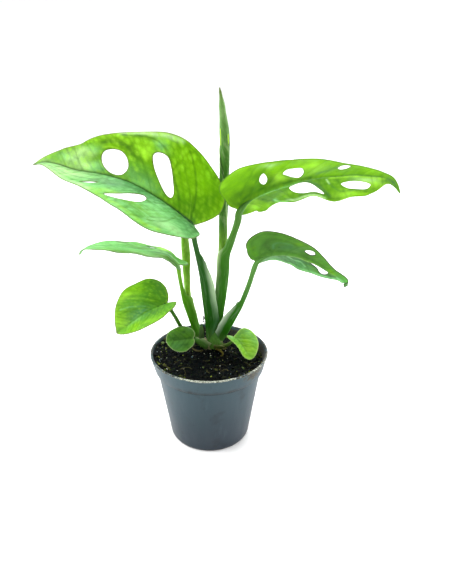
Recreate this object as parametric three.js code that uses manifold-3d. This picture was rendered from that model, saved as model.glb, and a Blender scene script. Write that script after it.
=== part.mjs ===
// A young swiss cheese vine in a small round nursery pot, in millimetres, +Z up.
// The pot stands on z = 0 with its axis on x = 0, y = 0. The large left leaf points to -X.
import * as THREE from "three";
import { mergeVertices } from "three/addons/utils/BufferGeometryUtils.js";
import Module from "manifold-3d";

const wasm = await Module();
wasm.setup();

const GAP = 0.3; // clearance between neighbouring pieces
const UP = new THREE.Vector3(0, 0, 1);
const vec = (p) => new THREE.Vector3(p[0], p[1], p[2]);
const radians = THREE.MathUtils.degToRad;
const mix = THREE.MathUtils.lerp;

// Pot: a thin moulded cup with a straight rim band that stands out from the tapering wall.
// It stands on a foot ring and a central pad, and its drain holes open into the groove between them.
const POT = {
  height: 48,
  rimOuter: 30,
  rimInner: 28.7,
  bandHeight: 8.5,
  bandFoot: 27.9,
  bodyTop: 26.8,
  bodyFoot: 20.6,
  footFillet: 1.6,
  wall: 1.1,
  floor: 1.6,
  floorLift: 1.2,
  ringInner: 17.2,
  padOuter: 6,
  drainRadius: 2.4,
  drainRing: 12.5,
  drains: 6,
};

// Soil: the top is highest round the crown and towards the left front.
const SOIL = { level: 43.7, mound: 1.5, moundWidth: 10, tilt: 0.03, rings: 7, sides: 36 };

// Centres of the two growing points, with the radius of the short stem at soil level.
const MAIN = { x: 2.4, y: 12, radius: 2, top: 48.4, foot: 33 };
const LEFT = { x: -5.5, y: 14.4, radius: 1.5, top: 47.6, foot: 36 };

// A Catmull-Rom curve through points, as evenly spaced samples of its own parameter.
function curveSamples(points, count) {
  const p = points.map(vec);
  const first = p[0].clone().multiplyScalar(2).sub(p[1]);
  const last = p[p.length - 1].clone().multiplyScalar(2).sub(p[p.length - 2]);
  const all = [first, ...p, last];
  const spans = all.length - 3;
  const out = [];
  for (let k = 0; k <= count; k++) {
    const t = (k / count) * spans;
    const i = Math.min(Math.floor(t), spans - 1);
    const u = t - i;
    const weights = [
      -u + 2 * u * u - u * u * u,
      2 - 5 * u * u + 3 * u * u * u,
      u + 4 * u * u - 3 * u * u * u,
      -u * u + u * u * u,
    ];
    const at = new THREE.Vector3();
    weights.forEach((w, n) => at.addScaledVector(all[i + n], w / 2));
    out.push(at);
  }
  return out;
}

// The curve by distance: a lookup of place and direction at s millimetres from its start.
function measuredCurve(points, count = 400) {
  const at = curveSamples(points, count);
  const along = [0];
  for (let i = 1; i <= count; i++) along.push(along[i - 1] + at[i].distanceTo(at[i - 1]));
  const tangent = at.map((p, i) => {
    const a = Math.max(i - 1, 0);
    const b = Math.min(i + 1, count);
    return at[b].clone().sub(at[a]).normalize();
  });
  const length = along[count];
  const lookup = (list, s) => {
    const d = THREE.MathUtils.clamp(s, 0, length);
    let i = 0;
    while (i < count - 1 && along[i + 1] < d) i++;
    return list[i].clone().lerp(list[i + 1], (d - along[i]) / (along[i + 1] - along[i]));
  };
  return {
    length,
    place: (s) => lookup(at, s),
    direction: (s) => lookup(tangent, s).normalize(),
  };
}

// Eases between [place, value] pairs, flat beyond the ends. A plain number is the same everywhere.
function eased(table, x) {
  if (typeof table === "number") return table;
  let i = 0;
  while (i < table.length - 2 && table[i + 1][0] < x) i++;
  const [a, b] = [table[i], table[i + 1]];
  const u = THREE.MathUtils.clamp((x - a[0]) / (b[0] - a[0]), 0, 1);
  return mix(a[1], b[1], u * u * (3 - 2 * u));
}

// Leaves. midrib: points from the stalk to the tip. bank: turn about the midrib in degrees.
// rise and curl: how steeply each half leaves the midrib, and its bend per millimetre outwards.
// waves: [side, height, number of waves, phase]. left is the side of +v, right the side of -v.
// left and right: the margin, [s, v] in the flat leaf, from the notch round the lobe to the tip.
// holes: closed outlines in the flat leaf.
const LEAVES = {
  leaf_a: {
    midrib: [
      [-6.4, -2, 115.8], [-14.3, -1.5, 122.5], [-22.2, 0, 127.7], [-31.3, 2, 132.8], [-40.7, 4.5, 135.9],
      [-50.9, 7, 137.8], [-61.2, 9.5, 138.7], [-69.5, 11.5, 140.8], [-76.1, 13, 141.5], [-82.2, 14, 140.2],
    ],
    halfWidth: 29,
    bank: -30,
    riseLeft: [[0, 26], [1, 24]],
    curlLeft: -0.3,
    riseRight: [[0, 36], [1, 28]],
    curlRight: -0.5,
    waves: [[1, 1.5, 3.2, 0.1], [-1, 0.9, 2.6, 0.4]],
    left: [
      [-0.9, 0.9], [-4.3, 3.4], [-3.4, 8.7], [-1, 13.8], [2.2, 18.1], [7, 22.8], [12, 24.8], [17.4, 25.2],
      [24.5, 25.7], [31.6, 24.6], [40, 20.7], [51, 17], [61, 12.8], [69, 8.8], [76, 4.6], [80.6, 1.6],
    ],
    right: [
      [-0.9, -0.9], [-4.4, -6.7], [-6.2, -11.8], [-4.9, -17.2], [-1.9, -21.2], [4, -25], [10, -27.4],
      [16.4, -29.2], [23.4, -29.8], [29.6, -28.7], [36, -26], [43, -23.4], [50, -20.4], [56, -17.3], [62, -14.1],
      [68, -10.6], [73, -6.6], [78, -3],
    ],
    holes: [
      [[51.5, -8.5], [50.6, -11.4], [47.4, -13], [43.6, -12.9], [40.4, -10.4], [38.5, -6.4], [39.5, -2.9],
        [42.5, -1.4], [46.6, -2.1], [50, -4.8]],
      [[31.2, -15.6], [30, -18.3], [26.4, -18.5], [22.6, -14.9], [18.6, -10.1], [15.6, -5.6], [15.9, -3.3],
        [19, -3.8], [24, -6.8], [28.6, -10.8]],
      [[40.5, 16.8], [35, 13.2], [30, 8], [26.2, 5], [24, 6.4], [25, 11], [28.5, 14.9], [33.8, 17.4]],
      [[47, 8.8], [50.6, 9.6], [54.6, 12.3], [50.5, 11.3]],
    ],
    rows: 18,
    columns: 4,
  },
  leaf_b: {
    midrib: [
      [14.6, -2, 123.1], [18.6, -2, 127.3], [24.5, -1, 130.5], [30.5, 0, 132.6], [36.2, 1, 134.2],
      [47.9, 3, 136.9], [59.8, 5, 137.6], [70.5, 7, 137.7], [80.2, 8.5, 136.4], [86.5, 9.5, 134.1],
      [91, 9, 127.7],
    ],
    halfWidth: 22,
    bank: -46,
    riseLeft: [[-0.2, 1], [0.1, 1], [0.35, -2], [0.6, -12], [1, -28]],
    curlLeft: -0.4,
    riseRight: [[-0.1, 24], [0.08, 20], [0.4, 0], [0.75, 0], [1, 6]],
    curlRight: -0.3,
    waves: [[1, 2.4, 4.2, 0.2], [-1, 0.7, 2, 0.6]],
    left: [
      [-0.5, 1.2], [-1.6, 4.2], [0, 7.6], [4.6, 12.2], [11, 15], [16.9, 15.1], [21.8, 15.5], [27.6, 15.4],
      [33, 14.6], [39.2, 14.9], [46.3, 15.7], [52.6, 15.8], [60.2, 15.6], [66.8, 12.5], [72.2, 7.8],
      [76.6, 3], [81.4, 1],
    ],
    right: [
      [-0.4, -1.2], [-1.2, -5.8], [0.8, -11.2], [3.2, -16.6], [5.6, -20], [8.6, -21.2], [15.4, -19.2], [24.2, -19],
      [31.6, -18.9], [40, -15.2], [46.4, -12], [52.8, -9], [60, -6.2], [66.3, -4.3], [74.4, -2], [81.4, -1],
    ],
    holes: [
      [[16.7, -7.4], [16.4, -10.4], [15.5, -12.2], [14.2, -10.6], [13.5, -8], [14, -5.8], [15.4, -4.8]],
      [[23.3, -9], [25, -11.7], [28.5, -12], [31.7, -10.8], [32.7, -6], [31, -2.9], [28, -4.5], [25.3, -6.9]],
      [[47.7, -6.2], [49, -8.3], [51.5, -8.4], [53.6, -6.8], [52, -5], [49.6, -4.6]],
      [[26.4, 3.4], [29.5, 2], [33.2, 2.2], [37, 4.3], [41.2, 8.2], [45.6, 12.6], [40, 11.7], [34, 10.7],
        [28.8, 8]],
      [[52.3, 5.8], [56, 4.6], [61, 4.6], [65.5, 4.9], [67.8, 5.8], [66.6, 8.4], [62, 9.8], [56.5, 9]],
    ],
    rows: 18,
    columns: 4,
  },
  leaf_c: {
    midrib: [
      [23.2, -2, 97.4], [27.7, -3, 100.7], [34.6, -4, 102.3], [43, -5, 101.4], [50.8, -6, 98.2],
      [57.5, -7, 94.6], [62.3, -8, 92], [65, -8.5, 89.6], [64.6, -9, 87.2],
    ],
    halfWidth: 16,
    bank: -52,
    riseLeft: [[0, 26], [0.12, 22], [0.35, 10], [0.6, 3], [1, -8]],
    curlLeft: -0.5,
    riseRight: [[-0.1, 30], [0.1, 22], [0.45, 4], [1, 6]],
    curlRight: -0.5,
    waves: [[1, 0.8, 3, 0.3]],
    left: [
      [-0.5, 0.9], [-1.2, 3.4], [0.4, 6.6], [5, 9.8], [12.5, 11.6], [19, 12], [25.4, 11.6], [32.9, 9.7],
      [39, 5.8], [43.6, 2.8], [46.4, 2.2],
    ],
    right: [
      [-0.5, -0.9], [-1.4, -3.2], [-0.6, -6.8], [1.8, -9.8], [4.5, -13], [7.9, -14.9], [12.2, -14.5],
      [18, -13.4], [21.6, -12.3], [25.3, -10.6], [29.6, -8.1], [34.5, -5.1], [39.2, -3.3], [43, -2.8],
      [46.4, -2.2],
    ],
    holes: [
      [[22.5, -5.3], [23.6, -7.3], [25.4, -7.9], [26.9, -6.1], [25.2, -4.3]],
      [[26.8, 1.1], [30.5, 0.9], [34.7, 1.2], [37.4, 1.8], [36.6, 4.7], [34.4, 5.2], [32, 3.2], [29, 2.2]],
    ],
    rows: 14,
    columns: 4,
  },
  leaf_d: {
    midrib: [
      [-14.1, -1, 95.7], [-17.2, 0, 98.3], [-20.6, 1, 100.1], [-27.8, 2, 101.2], [-34, 3, 102.2],
      [-41.4, 4, 102.8], [-48.8, 5, 102.8], [-55.2, 5.5, 102.7], [-60.2, 6, 100.9], [-62.8, 6, 97.9],
    ],
    halfWidth: 11,
    bank: 12,
    riseLeft: 0,
    curlLeft: -0.5,
    riseRight: [[0.05, 2], [0.15, 12], [0.5, 10], [1, 6]],
    curlRight: -0.3,
    waves: [[1, 0.35, 3.4, 0], [-1, 0.3, 4, 0.4]],
    left: [
      [-0.6, 0.9], [-2.2, 2.2], [-2.5, 4.2], [0.3, 5.4], [3.9, 6], [6.7, 7.2], [11.7, 9.6], [18.7, 11.1],
      [26.7, 11.5], [33.9, 11.2], [42.4, 8.3], [47.6, 5.2], [51.2, 2.2],
    ],
    right: [
      [-0.6, -0.9], [-2.2, -4.6], [-3, -8.4], [-2, -9.8], [0.4, -8.2], [3.4, -6.2], [6.4, -5.4],
      [10.4, -7.2], [14, -8.2],
      [20, -8.6], [26, -9.2], [33, -9.5], [39.3, -9.2], [44.6, -7.2], [48.8, -4.6], [51.4, -2],
    ],
    holes: [
      [[13.4, -5.3], [15, -6], [17.2, -6.2], [19.2, -5.6], [17.2, -5.1], [15, -4.9]],
      [[28.4, -7.6], [30.4, -8.2], [32.8, -8.3], [34.8, -7.6], [32.6, -7.2], [30.2, -7]],
    ],
    rows: 14,
    columns: 4,
  },
  leaf_e: {
    midrib: [
      [-19.5, -7, 77.5], [-24.4, -9.5, 76.2], [-29.5, -12.5, 74.5], [-34.5, -15, 71.8], [-38.6, -17.2, 69.5],
      [-42.5, -19, 67.3],
    ],
    halfWidth: 17,
    bank: -14,
    riseLeft: 28,
    curlLeft: -0.8,
    riseRight: 26,
    curlRight: -0.8,
    waves: [[-1, 0.5, 2, 0.2]],
    left: [
      [-0.7, 0.5], [-2.4, 1.6], [-3.5, 3.5], [-1.7, 6.7], [1.2, 9.2], [4.6, 11.1], [8.6, 12.4], [13.1, 12.9],
      [18.8, 10.9], [23.7, 7.2], [26.6, 3.4],
    ],
    right: [
      [-0.7, -0.8], [-1.9, -2.8], [-2.7, -5], [-3.3, -9], [-2.1, -13.2], [0.8, -16], [4.6, -17.7],
      [8.7, -17.9], [13.7, -17.1], [18.3, -14.7], [22.9, -10.2], [26, -5.3],
    ],
    holes: [],
    rows: 11,
    columns: 4,
  },
  leaf_f: {
    midrib: [[-7.8, -3.5, 56.8], [-11.4, -3.7, 56.4], [-14.9, -4, 56], [-18.4, -4.4, 55.8], [-21.2, -5, 55.9]],
    halfWidth: 8,
    bank: -28,
    riseLeft: 8,
    curlLeft: -2.5,
    riseRight: 8,
    curlRight: -2.5,
    waves: [],
    left: [[-0.4, 0.6], [-0.5, 2.3], [0.6, 4.4], [3.9, 6.7], [7.4, 6.8], [11.2, 4.7], [13, 2]],
    right: [[-0.4, -0.6], [-1, -2.3], [-0.6, -4.3], [0.8, -6.3], [3.7, -8.3], [6.9, -8.5], [11, -6.2], [13, -2.9]],
    holes: [],
    rows: 8,
    columns: 3,
  },
  leaf_g: {
    midrib: [[12.5, 6.5, 51.4], [14.8, 3.6, 50.3], [17.3, 0.2, 48.6], [19.3, -3.2, 46.8], [20.7, -6.2, 45.6]],
    halfWidth: 10,
    bank: -7.5,
    riseLeft: 32,
    curlLeft: -2,
    riseRight: [[0, 36], [1, 28]],
    curlRight: -2,
    waves: [],
    left: [
      [-0.6, 0.8], [-1.4, 3.4], [-2.3, 6.3], [-1.7, 8.8], [1.2, 10.4], [5.2, 10.2], [8.8, 8.8], [12.2, 6.3],
      [15.1, 3.4], [16.1, 1.5],
    ],
    right: [
      [-0.6, -0.8], [-0.6, -3.6], [0, -6.4], [1.6, -7.7], [3.4, -7.1], [5.6, -5.5], [9.1, -4.4], [12.6, -4.1],
      [15.2, -3.2], [16.2, -1.5],
    ],
    holes: [],
    rows: 9,
    columns: 3,
  },
};
const BLADE = { thickness: 0.7, midrib: 0.9, midribWidth: 1.3 };

// The curved face of a leaf: at(s, v) is a point on it, normal(s, v) its upper side.
function leafSurface(leaf) {
  const rib = measuredCurve(leaf.midrib);
  const frame = (s) => {
    const t = rib.direction(s);
    const across = UP.clone().cross(t).normalize();
    const over = t.clone().cross(across);
    const b = radians(leaf.bank);
    const side = across.clone().multiplyScalar(Math.cos(b)).addScaledVector(over, Math.sin(b));
    const normal = over.multiplyScalar(Math.cos(b)).addScaledVector(across, -Math.sin(b));
    const origin = rib.place(s).addScaledVector(t, Math.min(s, 0) + Math.max(s - rib.length, 0));
    return { origin, t, side, normal };
  };
  const at = (s, v) => {
    const { origin, side, normal } = frame(s);
    const share = s / rib.length;
    const isLeft = v >= 0;
    const rise = radians(eased(isLeft ? leaf.riseLeft : leaf.riseRight, share));
    const curl = radians(eased(isLeft ? leaf.curlLeft : leaf.curlRight, share));
    const w = Math.abs(v);
    const out = (Math.sin(rise + curl * w) - Math.sin(rise)) / curl;
    let lift = (Math.cos(rise) - Math.cos(rise + curl * w)) / curl;
    for (const [which, height, count, phase] of leaf.waves) {
      const here = which > 0 === isLeft;
      if (here) lift += height * (w / leaf.halfWidth) ** 2 * Math.sin(2 * Math.PI * (count * share + phase));
    }
    return origin.addScaledVector(side, isLeft ? out : -out).addScaledVector(normal, lift);
  };
  const normal = (s, v) => {
    if (v === 0) return frame(s).normal;
    const step = 0.05;
    const inner = v > 0 ? -step : step;
    const ds = at(s + step, v).sub(at(s - step, v));
    const dv = v > 0 ? at(s, v).sub(at(s, v + inner)) : at(s, v + inner).sub(at(s, v));
    return ds.cross(dv).normalize();
  };
  return { length: rib.length, at, normal };
}

// count + 1 evenly spaced points along the smooth open line through flat points.
function evenly(points, count) {
  const curve = measuredCurve(points.map(([s, v]) => [s, v, 0]), 300);
  const out = [];
  for (let i = 0; i <= count; i++) {
    const p = curve.place((curve.length * i) / count);
    out.push([p.x, p.y]);
  }
  return out;
}

function meshFrom(points, triangles) {
  const geometry = new THREE.BufferGeometry();
  geometry.setAttribute("position", new THREE.Float32BufferAttribute(points.flatMap((p) => [p.x, p.y, p.z]), 3));
  geometry.setIndex(triangles);
  return geometry;
}

function solidOf(geometry) {
  const bare = geometry.clone();
  bare.deleteAttribute("normal");
  bare.deleteAttribute("uv");
  const merged = mergeVertices(bare, 1e-4);
  const mesh = new wasm.Mesh({
    numProp: 3,
    vertProperties: merged.attributes.position.array,
    triVerts: new Uint32Array(merged.index.array),
  });
  return new wasm.Manifold(mesh);
}

function geometryOf(solid) {
  const mesh = solid.getMesh();
  const count = mesh.numProp;
  const places = [];
  for (let i = 0; i < mesh.numVert; i++) places.push(...mesh.vertProperties.slice(i * count, i * count + 3));
  const geometry = new THREE.BufferGeometry();
  geometry.setAttribute("position", new THREE.Float32BufferAttribute(places, 3));
  geometry.setIndex(Array.from(mesh.triVerts));
  return geometry;
}

// A leaf blade: rows run from the midrib to the margin on each side, alike on both faces.
function bladeGeometry(leaf, extra = 0) {
  const face = leafSurface(leaf);
  const { rows, columns } = leaf;
  const points = [];
  const flats = [];
  const put = (s, v) => {
    const rib = BLADE.midrib * Math.exp(-((v / BLADE.midribWidth) ** 2)) * (1 - (0.8 * Math.max(s, 0)) / face.length);
    const n = face.normal(s, v);
    const at = face.at(s, v);
    points.push(at.clone().addScaledVector(n, BLADE.thickness / 2 + extra));
    flats.push(at.clone().addScaledVector(n, -BLADE.thickness / 2 - rib - extra));
    return points.length - 1;
  };
  const spine = [];
  for (let i = 0; i < rows; i++) spine.push(put(face.length * (i / rows) ** 1.5, 0));
  const tip = put(face.length, 0);
  const faces = [];
  const border = [];
  for (const sign of [1, -1]) {
    const margin = evenly([...(sign > 0 ? leaf.left : leaf.right), [face.length, 0]], rows);
    const grid = spine.map((start, i) => {
      const s0 = face.length * (i / rows) ** 1.5;
      const row = [start];
      for (let j = 1; j <= columns; j++) {
        const u = (j / columns) ** 1.15;
        row.push(put(mix(s0, margin[i][0], u), mix(0, margin[i][1], u)));
      }
      return row;
    });
    const turn = (a, b, c) => faces.push(sign > 0 ? [a, b, c] : [a, c, b]);
    for (let i = 0; i < rows - 1; i++)
      for (let j = 0; j < columns; j++) {
        const [a, b, c, d] = [grid[i][j], grid[i + 1][j], grid[i + 1][j + 1], grid[i][j + 1]];
        turn(a, b, c);
        turn(a, c, d);
      }
    for (let j = 0; j < columns; j++) turn(grid[rows - 1][j], tip, grid[rows - 1][j + 1]);
    const edge = [...grid[0], ...grid.slice(1).map((row) => row[columns]), tip];
    for (let k = 0; k < edge.length - 1; k++) border.push(sign > 0 ? [edge[k + 1], edge[k]] : [edge[k], edge[k + 1]]);
  }
  const under = points.length;
  const index = [];
  for (const [a, b, c] of faces) index.push(a, b, c, a + under, c + under, b + under);
  for (const [a, b] of border) index.push(a, a + under, b + under, a, b + under, b);
  return meshFrom([...points, ...flats], index);
}

// A plug through the blade, shaped by a flat outline, that cuts one hole.
function holePlug(leaf, outline) {
  const face = leafSurface(leaf);
  const reach = 1.8;
  const points = [];
  const count = outline.length;
  const middle = [0, 1].map((k) => outline.reduce((sum, p) => sum + p[k], 0) / count);
  for (const height of [reach, -reach]) {
    for (const [s, v] of [...outline, middle]) points.push(face.at(s, v).addScaledVector(face.normal(s, v), height));
  }
  const area = outline.reduce((sum, p, i) => {
    const q = outline[(i + 1) % count];
    return sum + p[0] * q[1] - q[0] * p[1];
  }, 0);
  const index = [];
  for (let i = 0; i < count; i++) {
    const [a, b] = area > 0 ? [i, (i + 1) % count] : [(i + 1) % count, i];
    const low = count + 1;
    index.push(a, b, count, b + low, a + low, count + low, a, a + low, b, b, a + low, b + low);
  }
  return solidOf(meshFrom(points, index));
}

// A closed outline of few points made rounder.
function roundedLoop(outline, count) {
  const n = outline.length;
  const wrapped = [outline[n - 1], ...outline, outline[0], outline[1]];
  const samples = curveSamples(wrapped.map(([s, v]) => [s, v, 0]), (n + 2) * 8);
  const out = [];
  for (let i = 0; i < count; i++) {
    const p = samples[Math.round(8 + (i / count) * n * 8)];
    out.push([p.x, p.y]);
  }
  return out;
}

function bladeSolid(leaf) {
  let solid = solidOf(bladeGeometry(leaf));
  for (const hole of leaf.holes) solid = solid.subtract(holePlug(leaf, roundedLoop(hole, hole.length > 6 ? 14 : 9)));
  return solid;
}

// A closed tube of equal rings of points with a flat cap at each end.
function ringSolid(rings) {
  const count = rings[0].length;
  const points = rings.flat();
  const index = [];
  for (let r = 0; r < rings.length - 1; r++)
    for (let i = 0; i < count; i++) {
      const a = r * count + i;
      const b = r * count + ((i + 1) % count);
      index.push(a, b, b + count, a, b + count, a + count);
    }
  const ends = [0, (rings.length - 1) * count];
  ends.forEach((start, which) => {
    const centre = new THREE.Vector3();
    for (let i = 0; i < count; i++) centre.addScaledVector(points[start + i], 1 / count);
    points.push(centre);
    const c = points.length - 1;
    for (let i = 0; i < count; i++) {
      const [a, b] = [start + i, start + ((i + 1) % count)];
      if (which) index.push(a, b, c);
      else index.push(b, a, c);
    }
  });
  return solidOf(meshFrom(points, index));
}

// Two directions square to a stalk, the first as near as it can be to the reference.
function crossFrame(direction, reference) {
  const first = reference.clone().addScaledVector(direction, -reference.dot(direction)).normalize();
  return [first, direction.clone().cross(first)];
}

// Leaf stalks. path: the stalk's centre from the crown to the leaf. stations, by share of the path:
// r stalk radius, hollow radius of what the sheath wraps, wing thickness, facing the side on which
// the stalk lies (degrees), left and right how far the sheath reaches round (degrees),
// open 0 for a round stalk and 1 for a full sheath.
const STALKS = {
  stalk_a: {
    path: [
      [-0.4, 9.7, 46.2], [-0.6, 9, 54], [-1.1, 8.8, 62], [-2.1, 8.6, 74], [-3.3, 7, 87], [-4.6, 3.8, 97],
      [-6.2, 0.3, 107.5], [-6.9, -1.6, 114.2],
    ],
    stations: [
      { at: 0, r: 0.9, hollow: 2.4, wing: 0.7, facing: 225, left: 70, right: 14, open: 1 },
      { at: 0.11, r: 1.2, hollow: 2.75, wing: 0.7, facing: 220, left: 75, right: 48, open: 1 },
      { at: 0.23, r: 1.4, hollow: 3.2, wing: 0.7, facing: 212, left: 75, right: 98, open: 1 },
      { at: 0.4, r: 1.5, hollow: 4.7, wing: 0.7, facing: 198, left: 45, right: 72, open: 1 },
      { at: 0.58, r: 1.5, hollow: 3.5, wing: 0.7, facing: 190, left: 55, right: 86, open: 1 },
      { at: 0.7, r: 1.5, hollow: 2.8, wing: 0.8, facing: 190, left: 60, right: 82, open: 0.75 },
      { at: 0.82, r: 1.4, hollow: 1, wing: 0.9, facing: 190, left: 60, right: 60, open: 0 },
      { at: 1, r: 1.35, hollow: 1, wing: 0.9, facing: 190, left: 60, right: 60, open: 0 },
    ],
    rings: 13,
  },
  stalk_b: {
    wraps: "rolled_leaf_tall",
    path: [
      [4.9, 11.5, 48.9], [5.8, 10.9, 56], [6.9, 10, 66], [8.1, 8.9, 76], [9, 7.8, 87], [9.2, 7.1, 97],
      [11.6, 3.4, 107.5], [14, -0.5, 117], [14.5, -1.7, 121.4],
    ],
    stations: [
      { at: 0, r: 0.6, hollow: 1.62, wing: 0.6, facing: 350, left: 150, right: 150, open: 1 },
      { at: 0.09, r: 0.7, hollow: 1.72, wing: 0.6, facing: 345, left: 150, right: 150, open: 1 },
      { at: 0.22, r: 0.8, hollow: 1.97, wing: 0.6, facing: 335, left: 150, right: 150, open: 1 },
      { at: 0.35, r: 0.95, hollow: 2.22, wing: 0.6, facing: 325, left: 150, right: 145, open: 1 },
      { at: 0.49, r: 1.15, hollow: 2.47, wing: 0.6, facing: 312, left: 140, right: 140, open: 1 },
      { at: 0.62, r: 1.45, hollow: 2.62, wing: 0.6, facing: 302, left: 110, right: 110, open: 1 },
      { at: 0.74, r: 1.75, hollow: 2.2, wing: 0.8, facing: 300, left: 60, right: 60, open: 0.3 },
      { at: 0.87, r: 1.6, hollow: 1, wing: 0.9, facing: 300, left: 60, right: 60, open: 0 },
      { at: 1, r: 1.5, hollow: 1, wing: 0.9, facing: 300, left: 60, right: 60, open: 0 },
    ],
    rings: 13,
  },
  stalk_c: {
    path: [
      [5.4, 10.6, 46.4], [8.6, 9.4, 53.6], [12.2, 7.3, 62.4], [16.3, 4.2, 72.8], [19.7, 1, 84.2], [22.6, -1.4, 95.6],
    ],
    stations: [
      { at: 0, r: 1, hollow: 2.4, wing: 0.6, facing: 335, left: 95, right: 45, open: 1 },
      { at: 0.14, r: 1.3, hollow: 2.9, wing: 0.6, facing: 335, left: 100, right: 50, open: 1 },
      { at: 0.32, r: 1.5, hollow: 3.2, wing: 0.6, facing: 335, left: 92, right: 66, open: 1 },
      { at: 0.48, r: 1.5, hollow: 2.8, wing: 0.7, facing: 335, left: 74, right: 62, open: 0.8 },
      { at: 0.58, r: 1.4, hollow: 1.6, wing: 0.9, facing: 335, left: 60, right: 60, open: 0.1 },
      { at: 1, r: 1.3, hollow: 1, wing: 0.9, facing: 335, left: 60, right: 60, open: 0 },
    ],
    rings: 11,
  },
  stalk_d: {
    wraps: "rolled_leaf_short",
    path: [
      [-5, 11.7, 46.3], [-7.6, 11.7, 53], [-10.2, 11, 62], [-12.3, 9.6, 70.4], [-13.2, 6.3, 78.4],
      [-13.9, 2.4, 86.8], [-14.4, -0.5, 94.2],
    ],
    stations: [
      { at: 0, r: 0.8, hollow: 1.9, wing: 0.6, facing: 283, left: 60, right: 90, open: 1 },
      { at: 0.15, r: 1.1, hollow: 1.75, wing: 0.6, facing: 253, left: 90, right: 110, open: 1 },
      { at: 0.35, r: 1.15, hollow: 1.95, wing: 0.6, facing: 243, left: 90, right: 120, open: 1 },
      { at: 0.5, r: 1.2, hollow: 2.1, wing: 0.6, facing: 240, left: 70, right: 110, open: 1 },
      { at: 0.64, r: 1.1, hollow: 1.8, wing: 0.8, facing: 240, left: 60, right: 60, open: 0.25 },
      { at: 0.74, r: 1, hollow: 1, wing: 0.8, facing: 240, left: 60, right: 60, open: 0 },
      { at: 1, r: 1, hollow: 1, wing: 0.8, facing: 240, left: 60, right: 60, open: 0 },
    ],
    rings: 11,
  },
  stalk_e: {
    path: [
      [-9.2, 14, 46.5], [-12.6, 10.4, 52.4], [-14.9, 6, 59.3], [-16.4, 0.6, 66.3], [-17.8, -4, 72.1],
      [-19, -6.5, 76.2],
    ],
    stations: [
      { at: 0, r: 1, hollow: 1.4, wing: 0.6, facing: 205, left: 70, right: 70, open: 0.6 },
      { at: 0.3, r: 1.1, hollow: 1, wing: 0.8, facing: 205, left: 60, right: 60, open: 0 },
      { at: 1, r: 1, hollow: 1, wing: 0.8, facing: 205, left: 60, right: 60, open: 0 },
    ],
    rings: 9,
  },
  stalk_f: {
    path: [[-1.6, 6, 46.3], [-3.4, 3.4, 49], [-5.8, 0.2, 53], [-7.4, -2.8, 56]],
    stations: [
      { at: 0, r: 1.1, hollow: 2, wing: 0.6, facing: 250, left: 80, right: 80, open: 1 },
      { at: 0.55, r: 1.3, hollow: 2, wing: 0.6, facing: 250, left: 80, right: 80, open: 0.9 },
      { at: 1, r: 0.9, hollow: 1, wing: 0.8, facing: 250, left: 60, right: 60, open: 0.1 },
    ],
    rings: 7,
  },
  stalk_g: {
    path: [[2.3, 6.9, 46.3], [5.6, 6.6, 46.4], [9.2, 6.8, 47.2], [11.5, 6.8, 49], [12.3, 6.6, 50.4]],
    lying: true,
    stations: [
      { at: 0, r: 0.9, hollow: 1.2, wing: 0.6, facing: 250, left: 60, right: 60, open: 0.6 },
      { at: 0.5, r: 0.85, hollow: 1.2, wing: 0.6, facing: 250, left: 60, right: 60, open: 0.6 },
      { at: 1, r: 0.7, hollow: 1, wing: 0.7, facing: 250, left: 60, right: 60, open: 0 },
    ],
    rings: 8,
  },
};
const STALK_POINTS = { outer: 9, inner: 6 };

// One cross-section of a stalk, from its round top to the crescent of its sheath.
function stalkSection(centre, axes, st) {
  const place = (from, angle, radius) => {
    const a = radians(angle);
    return from.clone().addScaledVector(axes[0], Math.cos(a) * radius).addScaledVector(axes[1], Math.sin(a) * radius);
  };
  const middle = place(centre, st.facing + 180, st.hollow + st.r);
  const out = [];
  const add = (sheathAngle, sheathRadius, roundAngle, roundRadius) => {
    const round = place(centre, st.facing + roundAngle, roundRadius);
    out.push(round.lerp(place(middle, st.facing + sheathAngle, sheathRadius), st.open));
  };
  const reach = (u) => (u < 0 ? u * st.left : u * st.right);
  for (let i = 0; i < STALK_POINTS.outer; i++) {
    const u = (2 * i) / (STALK_POINTS.outer - 1) - 1;
    const angle = reach(u);
    const arc = radians(angle) * (st.hollow + st.r);
    const thick = st.wing + Math.max(2 * st.r - st.wing, 0) * Math.exp(-((arc / (1.5 * st.r)) ** 2));
    add(angle, st.hollow + thick, u * 125, st.r);
  }
  for (let i = 0; i < STALK_POINTS.inner; i++) {
    const u = 1 - (2 * i) / (STALK_POINTS.inner - 1);
    add(reach(u), st.hollow, 180 - u * 42, st.r * 0.86);
  }
  return out;
}

function stalkSolid(stalk) {
  const curve = measuredCurve(stalk.path);
  const reference = new THREE.Vector3(stalk.lying ? 0 : 1, stalk.lying ? 1 : 0, 0);
  const rings = [];
  for (let i = 0; i <= stalk.rings; i++) {
    const share = i / stalk.rings;
    const value = (key) => eased(stalk.stations.map((st) => [st.at, st[key]]), share);
    const st = {};
    for (const key of ["r", "hollow", "wing", "facing", "left", "right", "open"]) st[key] = value(key);
    const axes = crossFrame(curve.direction(share * curve.length), reference);
    rings.push(stalkSection(curve.place(share * curve.length), axes, st));
  }
  return ringSolid(rings);
}

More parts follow.
